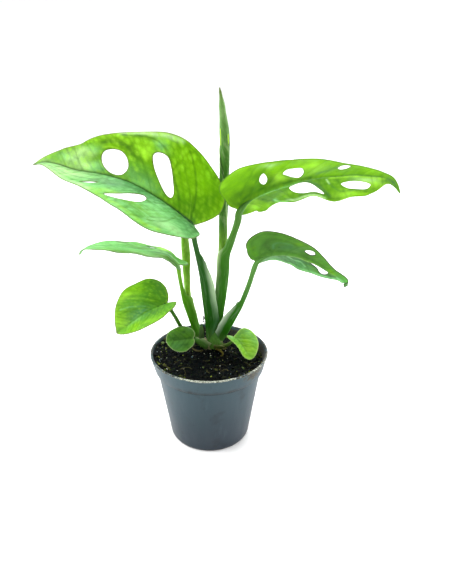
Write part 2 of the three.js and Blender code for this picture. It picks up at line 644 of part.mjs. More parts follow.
// Rolled new leaves. radii: [share of the path, radius]. seam: where the roll's free edge lies,
// in degrees at the foot and at the tip. step: how far that edge stands out, by share of radius.
const ROLLED = {
  rolled_leaf_tall: {
    path: [
      [2.8, 11.9, 48.9], [3.6, 11.5, 56], [4.5, 11.1, 65], [5.4, 10.8, 75], [6.2, 10.5, 85.5], [6.8, 10.4, 95.5],
      [7.1, 10.8, 105.4], [7.4, 11.3, 117], [7.6, 11.6, 129], [8, 11.6, 140.2], [8, 11.4, 149.8],
      [7.7, 11.2, 157.3], [7, 11, 164.9], [6.4, 10.8, 170.6], [5.7, 10.8, 175.4],
    ],
    radii: [[0, 1.1], [0.14, 1.6], [0.27, 2.2], [0.4, 2.35], [0.84, 2.35], [0.93, 1.5], [0.98, 0.7], [1, 0.3]],
    seam: [150, 330],
    step: 0.14,
    rings: 17,
  },
  rolled_leaf_short: {
    path: [
      [-5.7, 14.4, 48.1], [-6.9, 14.4, 54], [-9, 13.8, 62.4], [-10.5, 13.2, 70.6], [-11, 12.8, 77], [-11.2, 12.7, 85],
      [-11.4, 12.7, 94.5], [-11.8, 12.8, 104.2], [-11.8, 12.9, 113], [-11.7, 13, 123.4],
    ],
    radii: [[0, 0.9], [0.2, 1.5], [0.34, 1.8], [0.5, 2], [0.65, 2.1], [0.82, 1.7], [0.92, 1.1], [1, 0.3]],
    seam: [200, 320],
    step: 0.16,
    rings: 13,
  },
};
const ROLL_POINTS = 13;

// grow widens the roll evenly, for the hollow that it stands in.
function rolledSolid(roll, grow = 0) {
  const curve = measuredCurve(roll.path);
  const rings = [];
  for (let k = 0; k <= roll.rings; k++) {
    const share = k / roll.rings;
    const r = eased(roll.radii, share) + grow;
    const seam = mix(roll.seam[0], roll.seam[1], share);
    const axes = crossFrame(curve.direction(share * curve.length), new THREE.Vector3(1, 0, 0));
    const ring = [];
    for (let i = 0; i < ROLL_POINTS; i++) {
      const turn = i / (ROLL_POINTS - 1);
      const a = radians(seam + turn * 352);
      const radius = r * (1 - roll.step * (1 - turn));
      const p = curve.place(share * curve.length);
      ring.push(p.addScaledVector(axes[0], Math.cos(a) * radius).addScaledVector(axes[1], Math.sin(a) * radius));
    }
    rings.push(ring);
  }
  return ringSolid(rings);
}

// A round tapering strand, as wide as radii says along its path.
function strandSolid(path, radii, count, steps) {
  const curve = measuredCurve(path);
  const rings = [];
  for (let k = 0; k <= steps; k++) {
    const share = k / steps;
    const axes = crossFrame(curve.direction(share * curve.length), UP);
    const ring = [];
    for (let i = 0; i < count; i++) {
      const a = (2 * Math.PI * i) / count;
      const radius = eased(radii, share);
      const p = curve.place(share * curve.length);
      ring.push(p.addScaledVector(axes[0], Math.cos(a) * radius).addScaledVector(axes[1], Math.sin(a) * radius));
    }
    rings.push(ring);
  }
  return ringSolid(rings);
}

const lathe = (profile, sides) => {
  const turned = new THREE.LatheGeometry(profile.map(([r, z]) => new THREE.Vector2(r, z)), sides);
  return turned.rotateX(Math.PI / 2);
};

function potSolid() {
  const p = POT;
  const bandFootZ = p.height - p.bandHeight;
  const innerFoot = p.bodyFoot - p.wall - 0.6;
  const floorTop = p.floorLift + p.floor;
  const cup = lathe(
    [
      [0, floorTop], [innerFoot, floorTop], [innerFoot + 0.7, floorTop + 1],
      [p.bodyTop - p.wall, bandFootZ + 0.6], [p.bandFoot - p.wall, bandFootZ + 1.2],
      [p.rimInner, p.height - 0.5], [p.rimInner + 0.3, p.height], [p.rimOuter - 0.3, p.height],
      [p.rimOuter, p.height - 0.5], [p.bandFoot, bandFootZ], [p.bodyTop, bandFootZ],
      [p.bodyFoot, p.footFillet], [p.bodyFoot - 0.5, 0.4], [p.bodyFoot - 1.2, 0], [p.ringInner, 0],
      [p.ringInner - 0.4, p.floorLift], [p.padOuter + 0.4, p.floorLift], [p.padOuter, 0], [0, 0],
    ].reverse(),
    44,
  );
  let solid = solidOf(cup);
  for (let i = 0; i < p.drains; i++) {
    const a = (2 * Math.PI * (i + 0.5)) / p.drains;
    const drill = new THREE.CylinderGeometry(p.drainRadius, p.drainRadius, 6, 16).rotateX(Math.PI / 2);
    drill.translate(Math.cos(a) * p.drainRing, Math.sin(a) * p.drainRing, floorTop - 1);
    solid = solid.subtract(solidOf(drill));
  }
  return solid;
}

function soilHeight(x, y) {
  const near = Math.exp(-((x - 0.5) ** 2 + (y - 9) ** 2) / (2 * SOIL.moundWidth ** 2));
  const rough = 0.22 * Math.sin(0.55 * x + 1.1) * Math.sin(0.5 * y + 0.4) + 0.14 * Math.sin(1.15 * x - 0.8 * y);
  return SOIL.level + SOIL.mound * near - SOIL.tilt * (x + y * 0.8) + rough;
}

// The filled inside of the pot, up to the uneven top of the soil.
function soilSolid() {
  const p = POT;
  const floorTop = p.floorLift + p.floor + GAP;
  const bandFootZ = p.height - p.bandHeight;
  const innerRadius = (z) => {
    if (z < bandFootZ + 0.6) {
      const u = (z - floorTop - 1) / (bandFootZ - floorTop - 0.4);
      return mix(p.bodyFoot - p.wall - 0.3, p.bodyTop - p.wall, u) - GAP - 0.15;
    }
    return mix(p.bandFoot - p.wall, p.rimInner, (z - bandFootZ - 1.2) / (p.bandHeight - 1.7)) - GAP - 0.1;
  };
  const points = [];
  const index = [];
  const { sides, rings } = SOIL;
  const ring = (heightOf, share) => {
    const start = points.length;
    for (let i = 0; i < sides; i++) {
      const a = (2 * Math.PI * i) / sides;
      let z = heightOf(0, 0);
      let r = innerRadius(z) * share;
      for (let k = 0; k < 3; k++) {
        z = heightOf(Math.cos(a) * r, Math.sin(a) * r);
        r = innerRadius(z) * share;
      }
      points.push(new THREE.Vector3(Math.cos(a) * r, Math.sin(a) * r, z));
    }
    return start;
  };
  const join = (low, high) => {
    for (let i = 0; i < sides; i++) {
      const j = (i + 1) % sides;
      index.push(low + i, low + j, high + j, low + i, high + j, high + i);
    }
  };
  points.push(new THREE.Vector3(0, 0, floorTop));
  let last = ring(() => floorTop, 0.98);
  for (let i = 0; i < sides; i++) index.push(0, last + ((i + 1) % sides), last + i);
  const levels = [() => floorTop + 1, () => bandFootZ + 0.2, () => bandFootZ + 2.2];
  for (const level of levels) {
    const next = ring(level, 1);
    join(last, next);
    last = next;
  }
  for (let k = 0; k < rings; k++) {
    const next = ring(soilHeight, 1 - k / rings);
    join(last, next);
    last = next;
  }
  points.push(new THREE.Vector3(0, 0, soilHeight(0, 0)));
  for (let i = 0; i < sides; i++) index.push(last + i, last + ((i + 1) % sides), points.length - 1);
  return solidOf(meshFrom(points, index));
}

// The short stem of one growing point. grow widens it evenly, for the plain hole that it stands in.
function crownSolid(crown, grow = 0) {
  const { radius: r, top, foot } = crown;
  const profile = [
    [0, foot - grow], [r * 0.55 + grow, foot + 0.4 - grow], [r * 0.95 + grow, foot + 3],
    [r * 1.12 + grow, 41.5], [r + grow, 45], [r * 0.96 + grow, top - 0.5], [r * 0.7 + grow, top + grow],
    [0, top + grow],
  ];
  return solidOf(lathe(profile, 16).translate(crown.x, crown.y, 0));
}

const ROOTS = {
  root_front: {
    path: [[3.4, 4.9, 46], [5.3, 3.2, 46.2], [6.8, 1, 46.1], [7, -0.9, 45.8], [5.9, -1.6, 45.7]],
    radii: [[0, 0.5], [0.6, 0.55], [1, 0.3]],
  },
  root_left: {
    path: [[-3.4, 3.3, 46.2], [-4.8, 2.4, 46.1], [-6.8, 3.2, 46], [-9, 5.6, 45.9]],
    radii: [[0, 0.5], [1, 0.3]],
  },
};

const COLOURS = {
  pot: 0x6f8488,
  soil: 0x2a211b,
  crown_main: 0x5f8a3c,
  crown_left: 0x5f8a3c,
  root: 0x6b5434,
  stalk: 0x4f9a38,
  rolled: 0x6fae4a,
  leaf: 0x7cc52e,
};

const root = new THREE.Group();

function add(name, solid, kind) {
  const colour = COLOURS[name] ?? COLOURS[kind];
  const mesh = new THREE.Mesh(geometryOf(solid), new THREE.MeshStandardMaterial({ color: colour }));
  mesh.name = name;
  root.add(mesh);
}

add("pot", potSolid(), "pot");
add("crown_main", crownSolid(MAIN), "crown");
add("crown_left", crownSolid(LEFT), "crown");
const soil = soilSolid();
add("soil", soil.subtract(crownSolid(MAIN, GAP)).subtract(crownSolid(LEFT, GAP)), "soil");
for (const [name, roll] of Object.entries(ROLLED)) add(name, rolledSolid(roll), "rolled");
for (const [name, leaf] of Object.entries(LEAVES)) add(name, bladeSolid(leaf), "leaf");
for (const [name, stalk] of Object.entries(STALKS)) {
  const blade = LEAVES[name.replace("stalk", "leaf")];
  let solid = stalkSolid(stalk).subtract(solidOf(bladeGeometry(blade, GAP)));
  if (stalk.wraps) solid = solid.subtract(rolledSolid(ROLLED[stalk.wraps], GAP));
  add(name, solid, "stalk");
}
for (const [name, strand] of Object.entries(ROOTS)) add(name, strandSolid(strand.path, strand.radii, 8, 7), "root");

export default root;
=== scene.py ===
"""A young swiss cheese vine in a small round nursery pot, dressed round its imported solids.

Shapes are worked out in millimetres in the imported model's frame, +Z up, and scaled to metres last.
A leaf is drawn flat first: s runs along the midrib from the stalk, v across it, +v on the left side.
"""
import math

import bmesh
import bpy
import numpy as np
from mathutils import Matrix, Vector, geometry, noise


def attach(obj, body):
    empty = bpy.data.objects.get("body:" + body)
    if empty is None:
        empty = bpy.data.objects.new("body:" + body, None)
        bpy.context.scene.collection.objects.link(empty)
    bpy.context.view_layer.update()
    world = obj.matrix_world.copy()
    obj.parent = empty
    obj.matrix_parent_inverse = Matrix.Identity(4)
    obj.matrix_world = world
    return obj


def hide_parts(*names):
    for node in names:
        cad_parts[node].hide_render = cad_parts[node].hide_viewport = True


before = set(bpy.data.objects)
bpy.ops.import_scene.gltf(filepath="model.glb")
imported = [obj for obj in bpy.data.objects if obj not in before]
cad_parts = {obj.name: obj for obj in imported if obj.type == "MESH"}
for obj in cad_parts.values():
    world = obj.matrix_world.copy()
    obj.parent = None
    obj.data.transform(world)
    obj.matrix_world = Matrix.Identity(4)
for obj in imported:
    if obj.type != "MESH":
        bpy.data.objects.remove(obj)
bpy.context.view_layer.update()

MM = 0.001
UP = np.array([0.0, 0.0, 1.0])
random = np.random.default_rng(7)

# Camera: where it stands in millimetres, how far it looks down, and its focal length in pixels.
CAMERA = {"place": (8.6, -280, 209), "down": 24.6, "focal": 629, "picture_height": 584, "sensor": 36}

# Pot, soil and crowns, in millimetres. band: the straight rim band's height. lift: how high the underside of
# the floor is. BANK: how the soil is heaped against the wall, and the side it faces, in radians.
POT = {
    "height": 48, "rim_outer": 30, "rim_inner": 28.7, "band": 8.5, "band_foot": 27.9, "body_top": 26.8,
    "body_foot": 20.6, "foot_round": 1.6, "wall": 1.1, "floor": 1.6, "lift": 1.2, "ring_inner": 17.2,
    "pad_outer": 6, "drain_radius": 2.4, "drain_ring": 12.5, "drains": 6, "sides": 240,
}
SOIL = {"level": 43.7, "mound": 1.5, "mound_width": 10, "tilt": 0.03, "rings": 84, "sides": 240}
BANK = {"height": 2.9, "facing": 0.3, "spread": 1.05, "width": 7}
CROWNS = {
    "crown_main": {"x": 2.4, "y": 12, "radius": 2, "top": 48.4, "foot": 33},
    "crown_left": {"x": -5.5, "y": 14.4, "radius": 1.5, "top": 47.6, "foot": 36},
}


# Colours are written as sRGB from 0 to 255.
def rgb(red, green, blue):
    """A linear colour for Blender."""
    share = np.array([red, green, blue]) / 255
    return tuple(np.where(share <= 0.04045, share / 12.92, ((share + 0.055) / 1.055) ** 2.4))


def rgba(colour):
    return (*rgb(*colour), 1.0)


# Curves. FINE: how many samples lie between two points of a line before it is divided evenly.
FINE = 24


def curve_samples(points, count):
    """Even steps of the parameter along a Catmull-Rom curve through points, end points reflected."""
    p = np.asarray(points, float)
    p = np.vstack([2 * p[0] - p[1], p, 2 * p[-1] - p[-2]])
    spans = len(p) - 3
    t = np.linspace(0, spans, count + 1)
    i = np.minimum(t.astype(int), spans - 1)
    u = (t - i)[:, None]
    a, b, c, d = p[i], p[i + 1], p[i + 2], p[i + 3]
    bend = (2 * a - 5 * b + 4 * c - d) * u**2 + (3 * b - a - 3 * c + d) * u**3
    return 0.5 * (2 * b + (c - a) * u + bend)


class Curve:
    """A smooth curve that is looked up by distance from its start."""

    def __init__(self, points, count=400):
        self.line = curve_samples(points, count)
        steps = np.linalg.norm(np.diff(self.line, axis=0), axis=1)
        self.along = np.concatenate([[0], np.cumsum(steps)])
        self.length = self.along[-1]
        tangent = np.gradient(self.line, self.along, axis=0)
        self.tangent = tangent / np.linalg.norm(tangent, axis=1)[:, None]

    def _look(self, table, s):
        return np.stack([np.interp(s, self.along, column) for column in table.T], -1)

    def place(self, s):
        return self._look(self.line, s)

    def direction(self, s):
        return unit(self._look(self.tangent, s))


def unit(vectors):
    return vectors / np.linalg.norm(vectors, axis=-1, keepdims=True)


def resampled(points, step, closed=False):
    """Points about one step apart along the smooth line, or loop, through points."""
    points = np.asarray(points, float)
    if closed:
        points = np.vstack([points[-1:], points, points[:2]])
    samples = curve_samples(points, FINE * (len(points) - 1))
    if closed:
        samples = samples[FINE:-FINE]
    along = np.concatenate([[0], np.cumsum(np.linalg.norm(np.diff(samples, axis=0), axis=1))])
    count = max(int(along[-1] / step), 4)
    places = np.linspace(0, along[-1], count + 1)
    line = np.stack([np.interp(places, along, column) for column in samples.T], -1)
    return line[:-1] if closed else line


def eased(table, x):
    """Eases between (place, value) pairs, flat beyond the ends. A plain number is the same everywhere."""
    x = np.asarray(x, float)
    if isinstance(table, (int, float)):
        return np.full_like(x, table)
    places = np.array([pair[0] for pair in table], float)
    values = np.array([pair[1] for pair in table], float)
    i = np.clip(np.searchsorted(places, x) - 1, 0, len(places) - 2)
    u = np.clip((x - places[i]) / (places[i + 1] - places[i]), 0, 1)
    u = u * u * (3 - 2 * u)
    return values[i] * (1 - u) + values[i + 1] * u


def smooth_step(x, low, high):
    """0 at low and 1 at high, eased between them. low may be the larger one."""
    u = np.clip((x - low) / (high - low), 0, 1)
    return u * u * (3 - 2 * u)


def bell(x, width):
    """1 where x is 0, falling away smoothly to both sides."""
    return np.exp(-((x / width) ** 2))


def noise_at(points, scale, seed):
    """Blender's own smooth noise at each point, about -1 to 1."""
    shift = Vector((seed * 7.31, seed * 3.17, seed * 5.53))
    return np.array([noise.noise(Vector(p) * scale + shift) for p in points])


def drift(along, row, seed):
    """The same noise at one place along a length."""
    return float(noise_at([(along, row, 0)], 1, seed)[0])


def in_line(values):
    """Points on the first axis, for noise along one measure."""
    return np.column_stack([values, np.zeros((len(values), 2))])


def filled(flat, height=0.0):
    """Flat points with a third number."""
    return np.column_stack([flat, np.zeros(len(flat)) + height])


def circle(count):
    """Flat points round a circle of radius 1."""
    turn = np.linspace(0, 2 * np.pi, count, endpoint=False)
    return np.column_stack([np.cos(turn), np.sin(turn)])


# Mesh and object helpers. ATTRIBUTES: kind and field of a mesh attribute of 1, 3 or 4 numbers.
ATTRIBUTES = {1: ("FLOAT", "value"), 3: ("FLOAT_VECTOR", "vector"), 4: ("FLOAT_COLOR", "color")}


def new_piece(name, points, faces, attributes=None, smooth=True):
    """A mesh object from points in millimetres. attributes: name to values, one row to a point."""
    mesh = bpy.data.meshes.new(name)
    mesh.from_pydata((np.asarray(points) * MM).tolist(), [], [list(face) for face in faces])
    for key, values in (attributes or {}).items():
        values = np.asarray(values, np.float32)
        kind, field = ATTRIBUTES[1 if values.ndim == 1 else values.shape[1]]
        attribute = mesh.attributes.new(key, kind, "POINT")
        attribute.data.foreach_set(field, values.ravel())
    mesh.polygons.foreach_set("use_smooth", [smooth] * len(mesh.polygons))
    mesh.validate()
    piece = bpy.data.objects.new(name, mesh)
    bpy.context.scene.collection.objects.link(piece)
    return piece


def dress(piece, material, slot, *nodes):
    """Gives a piece its material, sets it on the plant's only body, and hides what it stands for. The slot is
    not used.
    """
    piece.data.materials.append(material)
    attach(piece, "root")
    if nodes:
        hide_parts(*nodes)
    return piece


def ring_faces(rings, count, capped=True):
    """Quads between rings of count points each, with a fan at each end to two centre points added last."""
    faces = []
    for r in range(rings - 1):
        for i in range(count):
            a, b = r * count + i, r * count + (i + 1) % count
            faces.append((a, b, b + count, a + count))
    if capped:
        low, high, last = rings * count, rings * count + 1, (rings - 1) * count
        for i in range(count):
            j = (i + 1) % count
            faces.append((j, i, low))
            faces.append((last + i, last + j, high))
    return faces


def ring_points(rings):
    """All the points of a list of rings, then the centre of the first and of the last."""
    return np.vstack([*rings, rings[0].mean(0)[None], rings[-1].mean(0)[None]])


def ring_values(rows):
    """One value for each ring point, then one for each end's centre."""
    rows = np.asarray(rows, float)
    flat = rows.reshape(-1, *rows.shape[2:])
    return np.concatenate([flat, rows[0].mean(0)[None], rows[-1].mean(0)[None]])


def joined(parts):
    """The points and faces of several parts, as those of one mesh."""
    points, faces, start = [], [], 0
    for part_points, part_faces in parts:
        points.append(part_points)
        faces += [tuple(int(i) + start for i in face) for face in part_faces]
        start += len(part_points)
    return np.vstack(points), faces


def cross_frame(direction, reference):
    """Two directions square to a direction, the first as near as can be to the reference."""
    first = unit(reference - direction * (reference @ direction))
    return first, np.cross(direction, first)


class Shader:
    """A material's node tree, with short calls to add and join nodes."""

    def __init__(self, name):
        self.material = bpy.data.materials.new(name)
        self.material.use_nodes = True
        self.tree = self.material.node_tree
        self.tree.nodes.clear()

    def add(self, kind, inputs, **settings):
        node = self.tree.nodes.new("ShaderNode" + kind)
        for key, value in settings.items():
            setattr(node, key, value)
        for key, value in inputs.items():
            if isinstance(value, bpy.types.NodeSocket):
                self.tree.links.new(value, node.inputs[key])
            else:
                node.inputs[key].default_value = value
        return node

    def attribute(self, name, output="Fac"):
        return self.add("Attribute", {}, attribute_name=name).outputs[output]

    def place(self):
        return self.add("TexCoord", {}).outputs["Object"]

    def stretched(self, vector, scale):
        return self.add("Mapping", {"Vector": vector, "Scale": scale}).outputs["Vector"]

    def noise(self, vector, scale, detail=3.0, roughness=0.55, output="Fac"):
        inputs = {"Vector": vector, "Scale": scale, "Detail": detail, "Roughness": roughness}
        return self.add("TexNoise", inputs).outputs[output]

    def cells(self, vector, scale, feature="DISTANCE_TO_EDGE", output="Distance"):
        inputs = {"Vector": vector, "Scale": scale}
        return self.add("TexVoronoi", inputs, feature=feature).outputs[output]

    def remap(self, value, low, high, to_low=0.0, to_high=1.0):
        inputs = {"Value": value, "From Min": low, "From Max": high, "To Min": to_low, "To Max": to_high}
        return self.add("MapRange", inputs).outputs["Result"]

    def maths(self, operation, a, b):
        return self.add("Math", {0: a, 1: b}, operation=operation).outputs[0]

    def shifted(self, vector, scale, reach, seed=0.0):
        """vector moved about by noise, so that a pattern on it isn't regular."""
        moved = self.add("VectorMath", {0: vector, 1: (seed, seed, seed)}, operation="ADD").outputs[0]
        wander = self.noise(moved, scale, 2.0, output="Color")
        centred = self.add("VectorMath", {0: wander, 1: (0.5, 0.5, 0.5)}, operation="SUBTRACT").outputs[0]
        sized = self.add("VectorMath", {0: centred, "Scale": reach}, operation="SCALE").outputs[0]
        return self.add("VectorMath", {0: vector, 1: sized}, operation="ADD").outputs[0]

    def blend(self, share, a, b, mode="MIX"):
        inputs = {0: share, 6: a, 7: b}
        return self.add("Mix", inputs, data_type="RGBA", blend_type=mode).outputs[2]

    def bump(self, height, strength, distance, normal=None):
        inputs = {"Height": height, "Strength": strength, "Distance": distance}
        if normal is not None:
            inputs["Normal"] = normal
        return self.add("Bump", inputs).outputs["Normal"]

    def finish(self, shader):
        self.add("OutputMaterial", {"Surface": shader.outputs[0]})
        return self.material

    def opaque(self, inputs):
        """The finished material of a surface that no light comes through."""
        return self.finish(self.add("BsdfPrincipled", inputs))

    def leafy(self, colour, screen, roughness, normal, share, gloss):
        """The finished material of a thin surface: a share of light comes through, coloured by a screen."""
        front = self.add("BsdfPrincipled", {
            "Base Color": colour, "Roughness": roughness, "Normal": normal, "Specular IOR Level": gloss})
        behind = self.blend(1.0, colour, screen, "MULTIPLY")
        back = self.add("BsdfTranslucent", {"Color": behind, "Normal": normal})
        return self.finish(self.add("MixShader", {0: share, 1: front.outputs[0], 2: back.outputs[0]}))


# Leaf colours as sRGB from 0 to 255, from the darkest green to the palest, then the shades of the back.
# Mint, pale, soft, bluish and slate stand mostly for painted sheen on the blades, and dark and deep partly
# for painted shade.
GREENS = {
    "dark": (40, 86, 16), "deep": (70, 126, 10), "grass": (96, 156, 8), "lime": (130, 187, 6),
    "bright": (158, 212, 10), "yellow": (190, 238, 70), "fresh": (122, 188, 66), "leafy": (98, 156, 58),
    "soft": (132, 202, 122), "mint": (166, 228, 168), "pale": (222, 248, 208), "bluish": (98, 160, 118),
    "slate": (84, 134, 80), "moss": (72, 118, 44), "purple": (84, 66, 72),
}
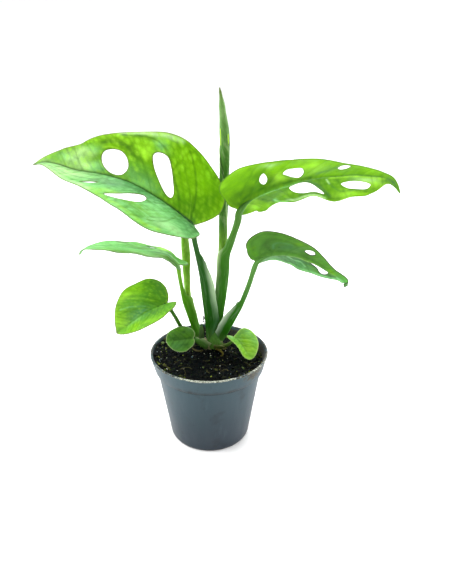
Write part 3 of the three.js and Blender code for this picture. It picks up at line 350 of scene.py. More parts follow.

# Leaves. midrib: points from the stalk to the tip. bank, rise, curl and waves bend the two halves, and
# left and right are the margins, as flat points. round: how widely the fold at the midrib is rounded.
# veins: where the side veins leave the midrib, and fan those at its foot, in degrees. lean and bow: how side
# veins slant and bend. ground: the colours of the left and right halves, patches: flat place, reach, colour
# and strength, and strokes: flat path, half-width, colour and strength. look: how the surface is spotted,
# streaked and edged.
# The patches and strokes mix the leaf's own mottle and veining with painted light: painted sheen where a
# blade is seen at a slant, and painted highlights and painted shade along folds, ridges and holes.
LEAVES = {
    "leaf_a": {
        "midrib": [
            (-6.4, -2, 115.8), (-14.3, -1.5, 122.5), (-22.2, 0, 127.7), (-31.3, 2, 132.8),
            (-40.7, 4.5, 135.9), (-50.9, 7, 137.8), (-61.2, 9.5, 138.7), (-69.5, 11.5, 140.8),
            (-76.1, 13, 141.5), (-82.2, 14, 140.2),
        ],
        "half_width": 29, "bank": -30, "rise_left": [(0, 26), (1, 24)], "curl_left": -0.3,
        "rise_right": [(0, 36), (1, 28)], "curl_right": -0.5,
        "waves": [(1, 1.5, 3.2, 0.1), (-1, 0.9, 2.6, 0.4)],
        "left": [
            (-0.9, 0.9), (-4.3, 3.4), (-3.4, 8.7), (-1, 13.8), (2.2, 18.1), (7, 22.8), (12, 24.8),
            (17.4, 25.2), (24.5, 25.7), (31.6, 24.6), (40, 20.7), (51, 17), (61, 12.8), (69, 8.8),
            (76, 4.6), (80.6, 1.6),
        ],
        "right": [
            (-0.9, -0.9), (-4.4, -6.7), (-6.2, -11.8), (-4.9, -17.2), (-1.9, -21.2), (4, -25),
            (10, -27.4), (16.4, -29.2), (23.4, -29.8), (29.6, -28.7), (36, -26), (43, -23.4), (50, -20.4),
            (56, -17.3), (62, -14.1), (68, -10.6), (73, -6.6), (78, -3),
        ],
        "holes": [
            [
                (51.5, -8.5), (50.6, -11.4), (47.4, -13), (43.6, -12.9), (40.4, -10.4), (38.5, -6.4),
                (39.5, -2.9), (42.5, -1.4), (46.6, -2.1), (50, -4.8),
            ],
            [
                (31.2, -15.6), (30, -18.3), (26.4, -18.5), (22.6, -14.9), (18.6, -10.1), (15.6, -5.6),
                (15.9, -3.3), (19, -3.8), (24, -6.8), (28.6, -10.8),
            ],
            [
                (40.5, 16.8), (35, 13.2), (30, 8), (26.2, 5), (24, 6.4), (25, 11), (28.5, 14.9),
                (33.8, 17.4),
            ],
            [(47, 8.8), (50.6, 9.6), (54.6, 12.3), (50.5, 11.3)],
        ],
        "veins": {
            "left": [2, 8, 15, 26, 37, 49, 59, 68], "right": [1, 8.5, 24, 47.5, 58, 67],
            "fan": [110, 140],
        },
        # On this leaf the soft ground of the left half and its mint, pale and bluish patches are painted
        # sheen.
        "lean": 0.84, "bow": 0.004, "ground": ("soft", "lime"),
        "patches": [
            (32, 3, 20, 3.5, "bluish", 0.6), (41, 8, 6, 2.6, "bluish", 0.75),
            (44, 6, 7, 2.4, "slate", 0.4), (62, 5, 10, 4, "pale", 0.45), (20, 18, 12, 5, "fresh", 0.55),
            (5, 10, 6, 9, "bluish", 0.4), (70, 5, 15, 7, "pale", 0.95), (52, 14, 12, 3, "mint", 0.7),
            (17, 11.5, 7, 2.4, "mint", 0.7), (9, 17.5, 6, 3, "pale", 0.5), (14, 15, 8, 3, "mint", 0.5),
            (24, 15, 7, 3, "lime", 0.5), (31, 14.4, 5, 2.2, "lime", 0.45),
            (16, 12.6, 4, 1.6, "fresh", 0.5), (40, 14.4, 8, 1.8, "yellow", 0.5),
            (2, 3, 4, 4, "bluish", 0.6), (0, 6, 5, 6, "slate", 0.45), (-2, 4, 3, 3, "slate", 0.4),
            (10, -18, 12, 8, "bright", 0.35), (16, -24, 8, 4, "bright", 0.6),
            (64, -8, 16, 6, "grass", 0.75), (1, -13, 4, 9, "grass", 0.7), (8, -4, 7, 4, "grass", 0.7),
            (44, -16, 9, 4, "grass", 0.6), (27, -5, 8, 4, "bluish", 0.45), (32.6, -2, 5, 2, "mint", 0.45),
            (27, -2.4, 5, 2, "mint", 0.4), (35, -8, 5, 3.5, "fresh", 0.6),
            (40, -4, 7, 2.4, "bluish", 0.45), (36, -17, 6, 4, "bright", 0.55),
            (34, -16, 2.5, 2, "yellow", 0.7), (50, -15.4, 8, 2.4, "bright", 0.45),
            (30, -21, 2.6, 2.6, "mint", 0.75), (66.5, -4.5, 5, 2.6, "pale", 0.85),
            (57, -3.4, 5, 2.4, "pale", 0.85), (52, -4.4, 3, 2, "mint", 0.6),
            (62, -9, 6, 2, "yellow", 0.45), (56, -12, 4, 1.6, "mint", 0.5), (74, -3, 5, 3, "fresh", 0.6),
            (63, -8, 5, 2.4, "pale", 0.65), (59, -10, 5, 2, "pale", 0.5), (69, -5, 4, 2, "mint", 0.6),
            (53, -2, 5, 1.6, "mint", 0.6), (49, -1.2, 4, 1.4, "bluish", 0.5),
            (44, -18.5, 5, 2, "bright", 0.6),
        ],
        # The pale band along the right margin is a painted highlight on its fold, and the wide deep band
        # beside the first hole is painted shade.
        "strokes": [
            ([(47, -21.8), (39.5, -24.2), (34.5, -25.5), (30.5, -26.8), (25.5, -28.2)], 1.3, "pale", 0.9),
            ([(46, -20.8), (38.7, -22.4), (34.2, -23), (31.2, -22.6), (28.4, -20.8), (24.7, -17.2),
              (19.8, -12.5), (12, -5)], 0.4, "deep", 0.75),
            ([(52.6, -15), (47.9, -16.6), (43.3, -16), (39.3, -13.6), (36.5, -12)], 1.1, "deep", 0.7),
            ([(51.8, -12.6), (49.3, -13.6), (46.3, -13.7), (43, -13.3)], 0.5, "yellow", 0.75),
            ([(2.6, -0.5), (4.8, -5.9), (8, -12), (11.6, -17.5), (15.7, -22.5),
              (19.8, -26.5)], 0.4, "deep", 0.7),
            ([(3.4, -0.5), (6.4, -5.9), (9, -10)], 0.3, "yellow", 0.4),
            ([(7, 1), (9, 5.4), (12.6, 16), (23.4, 22.6)], 0.5, "leafy", 0.75),
            ([(16, 1), (19, 4.6), (25, 8), (33, 12.6)], 0.45, "leafy", 0.5),
            ([(12, 22.9), (17.4, 23.5), (24.3, 23.8), (31, 22.6), (40, 19.2),
              (48, 16.4)], 1.3, "yellow", 0.55),
            ([(48, 16.6), (56, 13.8), (64, 10.6), (72, 6.6)], 1.2, "pale", 0.7),
            ([(77, 2.6), (66, 5.6), (56, 7.6), (47, 8)], 0.5, "bluish", 0.5),
            ([(72, 5.5), (62, 9.3), (52, 12.8)], 0.45, "soft", 0.8),
            ([(80, 1.2), (70, 2.4), (60, 3.2), (50, 3.6)], 0.5, "mint", 0.6),
        ],
        "round": 0.6,
        "look": {
            "mottle": 0.7, "scale": 0.5, "light": "yellow", "near": "mint", "shade": "deep",
            "rib": "dark", "rim": (112, 118, 66), "streaks": (0.25, 0.1), "ripple": 0.3, "line": 1,
        },
    },
    "leaf_b": {
        "midrib": [
            (14.6, -2, 123.1), (18.6, -2, 127.3), (24.5, -1, 130.5), (30.5, 0, 132.6), (36.2, 1, 134.2),
            (47.9, 3, 136.9), (59.8, 5, 137.6), (70.5, 7, 137.7), (80.2, 8.5, 136.4), (86.5, 9.5, 134.1),
            (91, 9, 127.7),
        ],
        "half_width": 22, "bank": -46,
        "rise_left": [(-0.2, 1), (0.1, 1), (0.35, -2), (0.6, -12), (1, -28)], "curl_left": -0.4,
        "rise_right": [(-0.1, 24), (0.08, 20), (0.4, 0), (0.75, 0), (1, 6)], "curl_right": -0.3,
        "waves": [(1, 2.4, 4.2, 0.2), (-1, 0.7, 2, 0.6)],
        "left": [
            (-0.5, 1.2), (-1.6, 4.2), (0, 7.6), (4.6, 12.2), (11, 15), (16.9, 15.1), (21.8, 15.5),
            (27.6, 15.4), (33, 14.6), (39.2, 14.9), (46.3, 15.7), (52.6, 15.8), (60.2, 15.6),
            (66.8, 12.5), (72.2, 7.8), (76.6, 3), (81.4, 1),
        ],
        "right": [
            (-0.4, -1.2), (-1.2, -5.8), (0.8, -11.2), (3.2, -16.6), (5.6, -20), (8.6, -21.2),
            (15.4, -19.2), (24.2, -19), (31.6, -18.9), (40, -15.2), (46.4, -12), (52.8, -9), (60, -6.2),
            (66.3, -4.3), (74.4, -2), (81.4, -1),
        ],
        "holes": [
            [
                (16.7, -7.4), (16.4, -10.4), (15.5, -12.2), (14.2, -10.6), (13.5, -8), (14, -5.8),
                (15.4, -4.8),
            ],
            [
                (23.3, -9), (25, -11.7), (28.5, -12), (31.7, -10.8), (32.7, -6), (31, -2.9), (28, -4.5),
                (25.3, -6.9),
            ],
            [(47.7, -6.2), (49, -8.3), (51.5, -8.4), (53.6, -6.8), (52, -5), (49.6, -4.6)],
            [
                (26.4, 3.4), (29.5, 2), (33.2, 2.2), (37, 4.3), (41.2, 8.2), (45.6, 12.6), (40, 11.7),
                (34, 10.7), (28.8, 8),
            ],
            [
                (52.3, 5.8), (56, 4.6), (61, 4.6), (65.5, 4.9), (67.8, 5.8), (66.6, 8.4), (62, 9.8),
                (56.5, 9),
            ],
        ],
        "veins": {
            "left": [4, 13, 20, 39, 48, 65.5, 71], "right": [2, 7, 14.5, 31.5, 41, 51.5, 61, 70],
            "fan": [105, 125],
        },
        "lean": 0.6, "bow": 0.004, "ground": ("grass", "lime"),
        "patches": [
            (8, 9, 5, 5, "yellow", 0.85), (14, 12, 6, 2.4, "bright", 0.8), (26, 8, 6, 4, "bright", 0.5),
            (56, 12, 9, 3, "yellow", 0.5), (70, 5, 7, 3, "yellow", 0.8), (62, 12, 6, 2, "yellow", 0.5),
            (58, 3, 10, 2, "lime", 0.5), (40, 8, 4, 5, "grass", 0.5), (10, -17, 6, 6, "bright", 0.3),
            (9, -22, 6, 3, "yellow", 0.4), (13, -5, 16, 5.5, "deep", 0.9), (6, -15, 6, 7, "lime", 0.75),
            (12, -15, 2.4, 5, "grass", 0.4), (30, -16, 7, 4, "lime", 0.5),
            (21.5, -7, 3, 4, "yellow", 0.8), (40, -7, 4, 3, "yellow", 0.5),
            (12.5, -8, 3, 6, "grass", 0.55), (21, -15, 6, 4, "bright", 0.5),
            (31, -11, 4, 3, "yellow", 0.45), (34, -13, 6, 4.5, "bright", 0.6),
            (37, -12, 3, 3, "yellow", 0.6), (25, -8, 4, 2, "grass", 0.5), (18, -17, 3, 2, "pale", 0.5),
            (30.5, -16, 5, 2.4, "lime", 0.5), (49, 9, 5, 3, "lime", 0.6), (64, 3, 6, 2, "pale", 0.6),
            (45, -6.5, 6, 2.6, "leafy", 0.6), (55, -3.4, 9, 2, "grass", 0.5),
            (64, -4, 7, 2, "bright", 0.5), (79, 0, 5.5, 3, "slate", 0.95),
        ],
        # Painted light: the deep band on one side of the midrib ridge is painted shade and the yellow line on
        # its other side a painted highlight, and the deep and mint lines across the left half's fold are its
        # painted shade and highlight.
        "strokes": [
            ([(2.6, -2.2), (8.5, -2.6), (15.5, -2.4), (23.8, -1.7), (32, -1.1),
              (38.5, -0.7)], 1.3, "deep", 0.9),
            ([(38, 0), (47.6, 0), (56.1, 0.2), (63.2, 0), (72, 0)], 0.5, "deep", 0.85),
            ([(0, 1.2), (5, 1.4), (9.8, 1.3), (15.9, 1.1), (22.4, 0.9), (31, 0.6)], 1.3, "fresh", 0.95),
            ([(12, 1.2), (18, 1.1), (24, 0.9), (31, 0.6)], 0.9, "soft", 0.8),
            ([(0, 2.4), (4, 2.6), (8.4, 2.4)], 0.6, "yellow", 0.5),
            ([(46, 1.6), (56, 1.5), (66, 1.7), (73, 1.2)], 0.8, "yellow", 0.65),
            ([(28, 1), (33, 1.4), (37.8, 4), (43.8, 9), (48, 13)], 0.9, "slate", 0.8),
            ([(44.6, 2.7), (46.7, 5.7)], 0.4, "pale", 0.95),
            ([(47, 6), (52, 9.6), (60, 10.6), (66, 9)], 0.6, "leafy", 0.6),
            ([(26, 13.6), (30, 13.6), (34, 13.2), (39, 13.9), (46, 15)], 0.9, "pale", 0.9),
            ([(46, 16), (52, 16.2), (60, 14.6), (68, 10.4)], 0.6, "yellow", 0.7),
            ([(11, 3.2), (13, 6), (15.6, 8.6), (18.4, 11)], 1, "deep", 0.9),
            ([(18.9, 10), (20.4, 13), (22.4, 14.8), (25.4, 14.9)], 0.9, "mint", 0.9),
            ([(17.6, 10), (19, 13), (21.6, 15)], 0.4, "deep", 0.6),
            ([(10.6, -2), (13, -7), (16, -14)], 1.6, "grass", 0.5),
            ([(39, -2.6), (44, -5.4), (50.6, -9.4)], 1, "slate", 0.55),
            ([(4, -16), (4.5, -20), (8, -21.4), (14, -19.8)], 0.9, "yellow", 0.5),
        ],
        "round": 1,
        "look": {
            "mottle": 0.42, "scale": 0.4, "light": "bright", "near": "yellow", "shade": "deep",
            "rib": "leafy", "rim": (104, 150, 50), "streaks": (0.1, 0.1), "ripple": 0.3, "line": 0.35,
        },
    },
    "leaf_c": {
        "midrib": [
            (23.2, -2, 97.4), (27.7, -3, 100.7), (34.6, -4, 102.3), (43, -5, 101.4), (50.8, -6, 98.2),
            (57.5, -7, 94.6), (62.3, -8, 92), (65, -8.5, 89.6), (64.6, -9, 87.2),
        ],
        "half_width": 16, "bank": -52, "rise_left": [(0, 26), (0.12, 22), (0.35, 10), (0.6, 3), (1, -8)],
        "curl_left": -0.5, "rise_right": [(-0.1, 30), (0.1, 22), (0.45, 4), (1, 6)], "curl_right": -0.5,
        "waves": [(1, 0.8, 3, 0.3)],
        "left": [
            (-0.5, 0.9), (-1.2, 3.4), (0.4, 6.6), (5, 9.8), (12.5, 11.6), (19, 12), (25.4, 11.6),
            (32.9, 9.7), (39, 5.8), (43.6, 2.8), (46.4, 2.2),
        ],
        "right": [
            (-0.5, -0.9), (-1.4, -3.2), (-0.6, -6.8), (1.8, -9.8), (4.5, -13), (7.9, -14.9),
            (12.2, -14.5), (18, -13.4), (21.6, -12.3), (25.3, -10.6), (29.6, -8.1), (34.5, -5.1),
            (39.2, -3.3), (43, -2.8), (46.4, -2.2),
        ],
        "holes": [
            [(22.5, -5.3), (23.6, -7.3), (25.4, -7.9), (26.9, -6.1), (25.2, -4.3)],
            [
                (26.8, 1.1), (30.5, 0.9), (34.7, 1.2), (37.4, 1.8), (36.6, 4.7), (34.4, 5.2), (32, 3.2),
                (29, 2.2),
            ],
        ],
        "veins": {"left": [3, 9, 16, 24, 37.5], "right": [2, 8, 15, 25, 32, 38], "fan": [110, 135]},
        "lean": 0.6, "bow": 0.01, "ground": ("slate", "leafy"),
        "patches": [
            (8, -6, 8, 6, "moss", 0.6), (16, -5.5, 6, 3, "slate", 0.9),
            (3.4, -8.6, 2.6, 5, "fresh", 0.45), (3.4, -7.3, 1, 0.8, "lime", 0.6),
            (20, -9.4, 3, 1.8, "lime", 0.5), (30, -5, 5, 2.4, "leafy", 0.6), (24, -3, 4, 2, "moss", 0.6),
            (8.2, -2.9, 0.5, 0.42, "dark", 1), (12.1, -4.6, 0.4, 0.34, "dark", 0.9),
            (39, 0.4, 2.4, 1.5, "lime", 1), (46.5, 0, 4.5, 4, "soft", 0.75), (24, 7, 7, 3, "bluish", 0.4),
            (6, 6, 7, 4, "soft", 0.5), (30, 8, 8, 2, "soft", 0.5), (31, 6, 4, 2.4, "leafy", 0.6),
            (2.6, -3, 3, 2.4, "grass", 0.5),
        ],
        "strokes": [
            ([(8.2, -3.4), (7.3, -6.4), (9.6, -9), (14, -9.4), (19, -8)], 0.8, "moss", 0.75),
            ([(9.8, -4), (10.4, -6.4), (13, -7.6), (17, -7.4)], 0.5, "bluish", 0.5),
            ([(4.8, -3), (4.8, -7.3), (7, -10.4), (12, -12), (18, -11)], 0.8, "leafy", 0.6),
            ([(3, -6), (4.6, -11), (8.4, -13.2), (14, -12.8), (22, -10.8)], 0.6, "moss", 0.5),
            ([(0.5, -1.6), (8, -1.9), (16, -1.8), (26, -1.4), (34, -1)], 0.6, "moss", 0.7),
            ([(0, 0.8), (6, 1.1), (14, 1.1), (24, 1), (32, 0.8)], 1, "yellow", 0.55),
            ([(16, 3.4), (20, 5.6), (23.2, 5), (26.7, 6.5)], 0.5, "mint", 0.8),
            ([(5, 8.4), (12.5, 10.6), (19, 10.9), (25.4, 10.4), (32.9, 8.4), (39, 4.8),
              (44, 2.2)], 0.8, "mint", 0.75),
            ([(26, 5), (30, 4.6), (34, 6.4)], 0.6, "grass", 0.6),
            ([(42, 1.4), (46, 1.6)], 0.4, "mint", 0.7),
        ],
        "round": 1,
        "look": {
            "mottle": 0.26, "scale": 0.5, "light": "fresh", "near": "mint", "shade": "moss",
            "rib": "soft", "rim": (76, 62, 66), "streaks": (0.15, 0.08), "ripple": 0.25, "line": 0.1,
        },
    },
    "leaf_d": {
        "midrib": [
            (-14.1, -1, 95.7), (-17.2, 0, 98.3), (-20.6, 1, 100.1), (-27.8, 2, 101.2), (-34, 3, 102.2),
            (-41.4, 4, 102.8), (-48.8, 5, 102.8), (-55.2, 5.5, 102.7), (-60.2, 6, 100.9),
            (-62.8, 6, 97.9),
        ],
        "half_width": 11, "bank": 12, "rise_left": 0, "curl_left": -0.5,
        "rise_right": [(0.05, 2), (0.15, 12), (0.5, 10), (1, 6)], "curl_right": -0.3,
        "waves": [(1, 0.35, 3.4, 0), (-1, 0.3, 4, 0.4)],
        "left": [
            (-0.6, 0.9), (-2.2, 2.2), (-2.5, 4.2), (0.3, 5.4), (3.9, 6), (6.7, 7.2), (11.7, 9.6),
            (18.7, 11.1), (26.7, 11.5), (33.9, 11.2), (42.4, 8.3), (47.6, 5.2), (51.2, 2.2),
        ],
        "right": [
            (-0.6, -0.9), (-2.2, -4.6), (-3, -8.4), (-2, -9.8), (0.4, -8.2), (3.4, -6.2), (6.4, -5.4),
            (10.4, -7.2), (14, -8.2), (20, -8.6), (26, -9.2), (33, -9.5), (39.3, -9.2), (44.6, -7.2),
            (48.8, -4.6), (51.4, -2),
        ],
        "holes": [
            [(13.4, -5.3), (15, -6), (17.2, -6.2), (19.2, -5.6), (17.2, -5.1), (15, -4.9)],
            [(28.4, -7.6), (30.4, -8.2), (32.8, -8.3), (34.8, -7.6), (32.6, -7.2), (30.2, -7)],
        ],
        "veins": {"left": [3, 8, 15, 27.5, 35, 42], "right": [3, 9, 21, 34.5, 42], "fan": [120]},
        "lean": 0.6, "bow": 0.01, "ground": ("soft", "soft"),
        # The dark and deep patches at the base are painted shade, and the mint and bluish ones stand mostly
        # for painted sheen.
        "patches": [
            (3, 4, 7, 4, "dark", 0.85), (20, 9, 7, 2.4, "grass", 0.6), (12, 0.5, 3, 1.5, "slate", 0.6),
            (36, 9, 7, 3, "fresh", 0.6), (44, 3, 6, 5, "mint", 0.7), (4, -5, 5, 2.4, "fresh", 0.6),
            (17, -4.5, 3, 1.2, "bluish", 0.7), (23, -6, 4, 1.6, "fresh", 0.6),
            (36, -4, 6, 3, "mint", 0.5), (48, 0, 4, 3, "bluish", 0.7), (9, -6, 3.4, 1.8, "yellow", 0.8),
            (7, 4.6, 6, 3, "grass", 0.9), (3, 3.6, 4, 3, "deep", 1), (46, 3, 5, 5, "soft", 0.6),
        ],
        "strokes": [
            ([(6, -1.6), (12, -3.2), (17, -3.6), (21, -4)], 0.6, "slate", 0.8),
            ([(19, -0.4), (26, -1.6), (33, -2.6), (38, -2.4)], 0.5, "leafy", 0.7),
            ([(10, 0.6), (20, 0.8), (30, 0.6), (42, 0.3)], 0.6, "bluish", 0.7),
            ([(28, -7.2), (31, -8.7), (34.6, -8.4)], 0.36, "purple", 0.9),
            ([(13.6, -5.6), (16, -6.5), (19, -6)], 0.3, "purple", 0.6),
            ([(8, 6.6), (13, 8.8), (19, 10), (25, 10.2), (31, 10.4)], 1.5, "grass", 0.9),
            ([(9, 7.8), (14, 9.8), (20, 10.9), (27, 11.2), (34, 10.9), (42, 8)], 0.5, "moss", 0.8),
            ([(33, -5.8), (30, -5), (26.8, -3.5), (23.4, -2.4)], 0.7, "leafy", 0.9),
            ([(21.5, -1.6), (17.5, -1.9), (14, -1.6), (10.6, -1)], 0.8, "leafy", 0.85),
            ([(0, -0.6), (8, -1), (16, -1.2)], 0.5, "mint", 0.6),
        ],
        "round": 1,
        "look": {
            "mottle": 0.1, "scale": 0.5, "light": "pale", "near": "pale", "shade": "leafy",
            "rib": "slate", "rim": (104, 132, 84), "streaks": (0.35, 0.35), "ripple": 0.12, "line": 0.5,
        },
    },
    "leaf_e": {
        "midrib": [
            (-19.5, -7, 77.5), (-24.4, -9.5, 76.2), (-29.5, -12.5, 74.5), (-34.5, -15, 71.8),
            (-38.6, -17.2, 69.5), (-42.5, -19, 67.3),
        ],
        "half_width": 17, "bank": -14, "rise_left": 28, "curl_left": -0.8, "rise_right": 26,
        "curl_right": -0.8, "waves": [(-1, 0.5, 2, 0.2)],
        "left": [
            (-0.7, 0.5), (-2.4, 1.6), (-3.5, 3.5), (-1.7, 6.7), (1.2, 9.2), (4.6, 11.1), (8.6, 12.4),
            (13.1, 12.9), (18.8, 10.9), (23.7, 7.2), (26.6, 3.4),
        ],
        "right": [
            (-0.7, -0.8), (-1.9, -2.8), (-2.7, -5), (-3.3, -9), (-2.1, -13.2), (0.8, -16), (4.6, -17.7),
            (8.7, -17.9), (13.7, -17.1), (18.3, -14.7), (22.9, -10.2), (26, -5.3),
        ],
        "holes": [],
        "veins": {
            "left": [1, 4.5, 8.5, 13, 17.5, 22], "right": [1, 4.5, 8.5, 13, 17.5, 22], "fan": [115, 145],
        },
        "lean": 0.55, "bow": 0.03, "ground": ("fresh", "leafy"),
        "patches": [
            (12.4, -1.8, 6, 3.4, "bluish", 0.75), (5, -7, 4, 5, "grass", 0.6),
            (12, -11, 8, 6, "fresh", 0.5), (3, -3, 4, 3, "grass", 0.8), (3, -13, 4, 3, "grass", 0.5),
            (14.5, -14, 4, 2.4, "yellow", 0.8), (8, -13, 4, 2.6, "bright", 0.5),
            (15, -9.7, 5, 2.4, "fresh", 0.6), (24, -6.5, 4, 6, "yellow", 0.75),
            (20, 6, 4, 3, "bright", 0.7), (12, 10, 5, 2.4, "yellow", 0.5), (22, -9, 4, 4, "lime", 0.6),
            (10, -16.4, 6, 1.6, "bright", 0.7), (26, -1, 2.4, 3, "grass", 0.6),
            (27.6, 0, 0.9, 0.9, "purple", 0.9), (4, 8, 4, 4, "fresh", 0.4), (9, 3, 5, 2.4, "slate", 0.5),
            (18, 1, 3, 1.6, "mint", 0.5), (1, -4, 3, 2.4, "leafy", 0.5),
        ],
        "strokes": [
            ([(1.5, -0.6), (6, -0.8), (12, -0.7), (20, -0.4)], 0.5, "grass", 0.7),
            ([(3, -2), (8, -6), (14, -10), (18, -12)], 0.4, "grass", 0.55),
            ([(8, -1.6), (13, -4.6), (17.5, -6.4), (22, -7.6)], 0.5, "grass", 0.6),
            ([(2, -4), (3, -9), (6, -14)], 0.4, "fresh", 0.5),
            ([(5, -4), (9, -8), (14, -12)], 0.4, "yellow", 0.4),
            ([(10, -3.6), (15, -7.4), (20, -9.6)], 0.4, "mint", 0.4),
            ([(8, 1), (12, 4.6), (16, 7.4)], 0.4, "grass", 0.5),
        ],
        "round": 2.5,
        "look": {
            "mottle": 0.5, "scale": 0.8, "light": "yellow", "near": "yellow", "shade": "deep",
            "rib": "grass", "rim": (116, 116, 76), "streaks": (0.08, 0.08), "ripple": 0.2, "line": 0.3,
        },
    },
    "leaf_f": {
        "midrib": [
            (-7.8, -3.5, 56.8), (-11.4, -3.7, 56.4), (-14.9, -4, 56), (-18.4, -4.4, 55.8),
            (-21.2, -5, 55.9),
        ],
        "half_width": 8, "bank": -28, "rise_left": 8, "curl_left": -2.5, "rise_right": 8,
        "curl_right": -2.5, "waves": [],
        "left": [(-0.4, 0.6), (-0.5, 2.3), (0.6, 4.4), (3.9, 6.7), (7.4, 6.8), (11.2, 4.7), (13, 2)],
        "right": [
            (-0.4, -0.6), (-1, -2.3), (-0.6, -4.3), (0.8, -6.3), (3.7, -8.3), (6.9, -8.5), (11, -6.2),
            (13, -2.9),
        ],
        "holes": [], "veins": {"left": [1, 3.5, 6.5, 9.5], "right": [1, 3.5, 6.5, 9.5], "fan": [130]},
        "lean": 0.6, "bow": 0.05, "ground": ("leafy", "moss"),
        "patches": [
            (9, 4, 4, 3, "bluish", 0.35), (4, 3.2, 2.2, 1, "dark", 0.6), (12, 1, 2, 3, "leafy", 0.7),
            (2, -6, 2.5, 2, "soft", 0.6), (10, -5, 4, 2.5, "leafy", 0.7), (3, -2, 3, 2, "grass", 0.5),
            (6, -6, 3, 2, "grass", 0.6), (4.4, -4.4, 0.8, 0.6, "dark", 0.8),
            (9.4, -1.8, 0.9, 0.6, "dark", 0.7), (3, 5, 1, 0.7, "dark", 0.5),
        ],
        "strokes": [([(0, -0.4), (6, -0.6), (12, -0.4)], 0.4, "dark", 0.5)], "round": 1.6,
        "look": {
            "mottle": 0.45, "scale": 1.0, "light": "fresh", "near": "fresh", "shade": "dark",
            "rib": "moss", "rim": (166, 188, 132), "streaks": (0.1, 0.1), "ripple": 0.3, "line": 0.3,
        },
    },
    "leaf_g": {
        "midrib": [
            (12.5, 6.5, 51.4), (14.8, 3.6, 50.3), (17.3, 0.2, 48.6), (19.3, -3.2, 46.8),
            (20.7, -6.2, 45.6),
        ],
        "half_width": 10, "bank": -7.5, "rise_left": 32, "curl_left": -2,
        "rise_right": [(0, 36), (1, 28)], "curl_right": -2, "waves": [],
        "left": [
            (-0.6, 0.8), (-1.4, 3.4), (-2.3, 6.3), (-1.7, 8.8), (1.2, 10.4), (5.2, 10.2), (8.8, 8.8),
            (12.2, 6.3), (15.1, 3.4), (16.1, 1.5),
        ],
        "right": [
            (-0.6, -0.8), (-0.6, -3.6), (0, -6.4), (1.6, -7.7), (3.4, -7.1), (5.6, -5.5), (9.1, -4.4),
            (12.6, -4.1), (15.2, -3.2), (16.2, -1.5),
        ],
        "holes": [], "veins": {"left": [1, 4, 7, 10.5], "right": [1, 4, 7, 10.5], "fan": [130]},
        "lean": 0.6, "bow": 0.03, "ground": ("fresh", "fresh"),
        "patches": [
            (0.5, 5, 2.4, 4, "leafy", 0.8), (3.6, 3.7, 1.6, 1, "grass", 0.8),
            (7, 4.4, 3, 2.6, "bright", 0.7), (11, 2.6, 3, 2.4, "yellow", 0.6),
            (15, -1, 2.4, 3, "lime", 0.9), (0.8, -5, 1.6, 2, "mint", 0.8), (6, -3, 3, 2, "fresh", 0.5),
            (8, 7.4, 3, 2, "soft", 0.5), (10, -2, 3, 1.6, "bright", 0.6), (2, 8, 2, 1.6, "soft", 0.5),
        ],
        "strokes": [
            ([(0.5, 0.3), (6, 0.2), (12, 0)], 0.4, "leafy", 0.6),
            ([(2, 1), (4, 4), (5, 7)], 0.35, "leafy", 0.6),
            ([(5, 0.6), (8, 3.4), (10, 5.4)], 0.35, "leafy", 0.5),
        ],
        "round": 1.6,
        "look": {
            "mottle": 0.55, "scale": 0.85, "light": "yellow", "near": "yellow", "shade": "grass",
            "rib": "grass", "rim": (184, 212, 130), "streaks": (0.08, 0.08), "ripple": 0.3, "line": 0.2,
        },
    },
}
# Every blade: step is the size of its triangles, and small_step that of a blade shorter than small. The rib
# stands out below with a groove above it, side veins dip above and rise below, and the blade swells between
# them like a quilt.
BLADE = {
    "thickness": 0.34, "edge_round": 0.13, "step": 0.5, "small": 30, "small_step": 0.3,
    "rib_height": 0.85, "rib_width": 0.95, "groove": 0.22, "groove_width": 0.55,
    "vein_width": 0.42, "vein_dip": 0.1, "vein_rise": 0.14, "quilt": 0.3, "quilt_width": 2.6,
}


class LeafSurface:
    """The curved face of a leaf: at(flat) gives points on it, and normals(flat) its upper side."""

    def __init__(self, leaf):
        self.leaf = leaf
        self.rib = Curve(leaf["midrib"])
        self.length = self.rib.length

    def at(self, flat):
        leaf, s, v = self.leaf, flat[:, 0], flat[:, 1]
        t = self.rib.direction(s)
        across = unit(np.cross(UP, t))
        over = np.cross(t, across)
        bank = math.radians(leaf["bank"])
        side = across * math.cos(bank) + over * math.sin(bank)
        normal = over * math.cos(bank) - across * math.sin(bank)
        beyond = np.minimum(s, 0) + np.maximum(s - self.length, 0)
        origin = self.rib.place(s) + t * beyond[:, None]
        share, left, w = s / self.length, v >= 0, np.abs(v)
        rises = [np.radians(eased(leaf[key], share)) for key in ("rise_left", "rise_right")]
        curls = [np.radians(eased(leaf[key], share)) for key in ("curl_left", "curl_right")]
        rise, curl = np.where(left, *rises), np.where(left, *curls)
        out = (np.sin(rise + curl * w) - np.sin(rise)) / curl
        lift = (np.cos(rise) - np.cos(rise + curl * w)) / curl
        fold = 0.5 * (np.tan(rises[0]) + np.tan(rises[1]))
        lift = lift + fold * (np.sqrt(w**2 + leaf["round"] ** 2) - w)
        for which, height, count, phase in leaf["waves"]:
            wave = height * (w / leaf["half_width"]) ** 2 * np.sin(2 * np.pi * (count * share + phase))
            lift = lift + np.where((which > 0) == left, wave, 0)
        return origin + side * (np.where(left, 1, -1) * out)[:, None] + normal * lift[:, None]

    def normals(self, flat):
        step = 0.15
        ds = self.at(flat + (step, 0)) - self.at(flat - (step, 0))
        dv = self.at(flat + (0, step)) - self.at(flat - (0, step))
        return unit(np.cross(ds, dv))


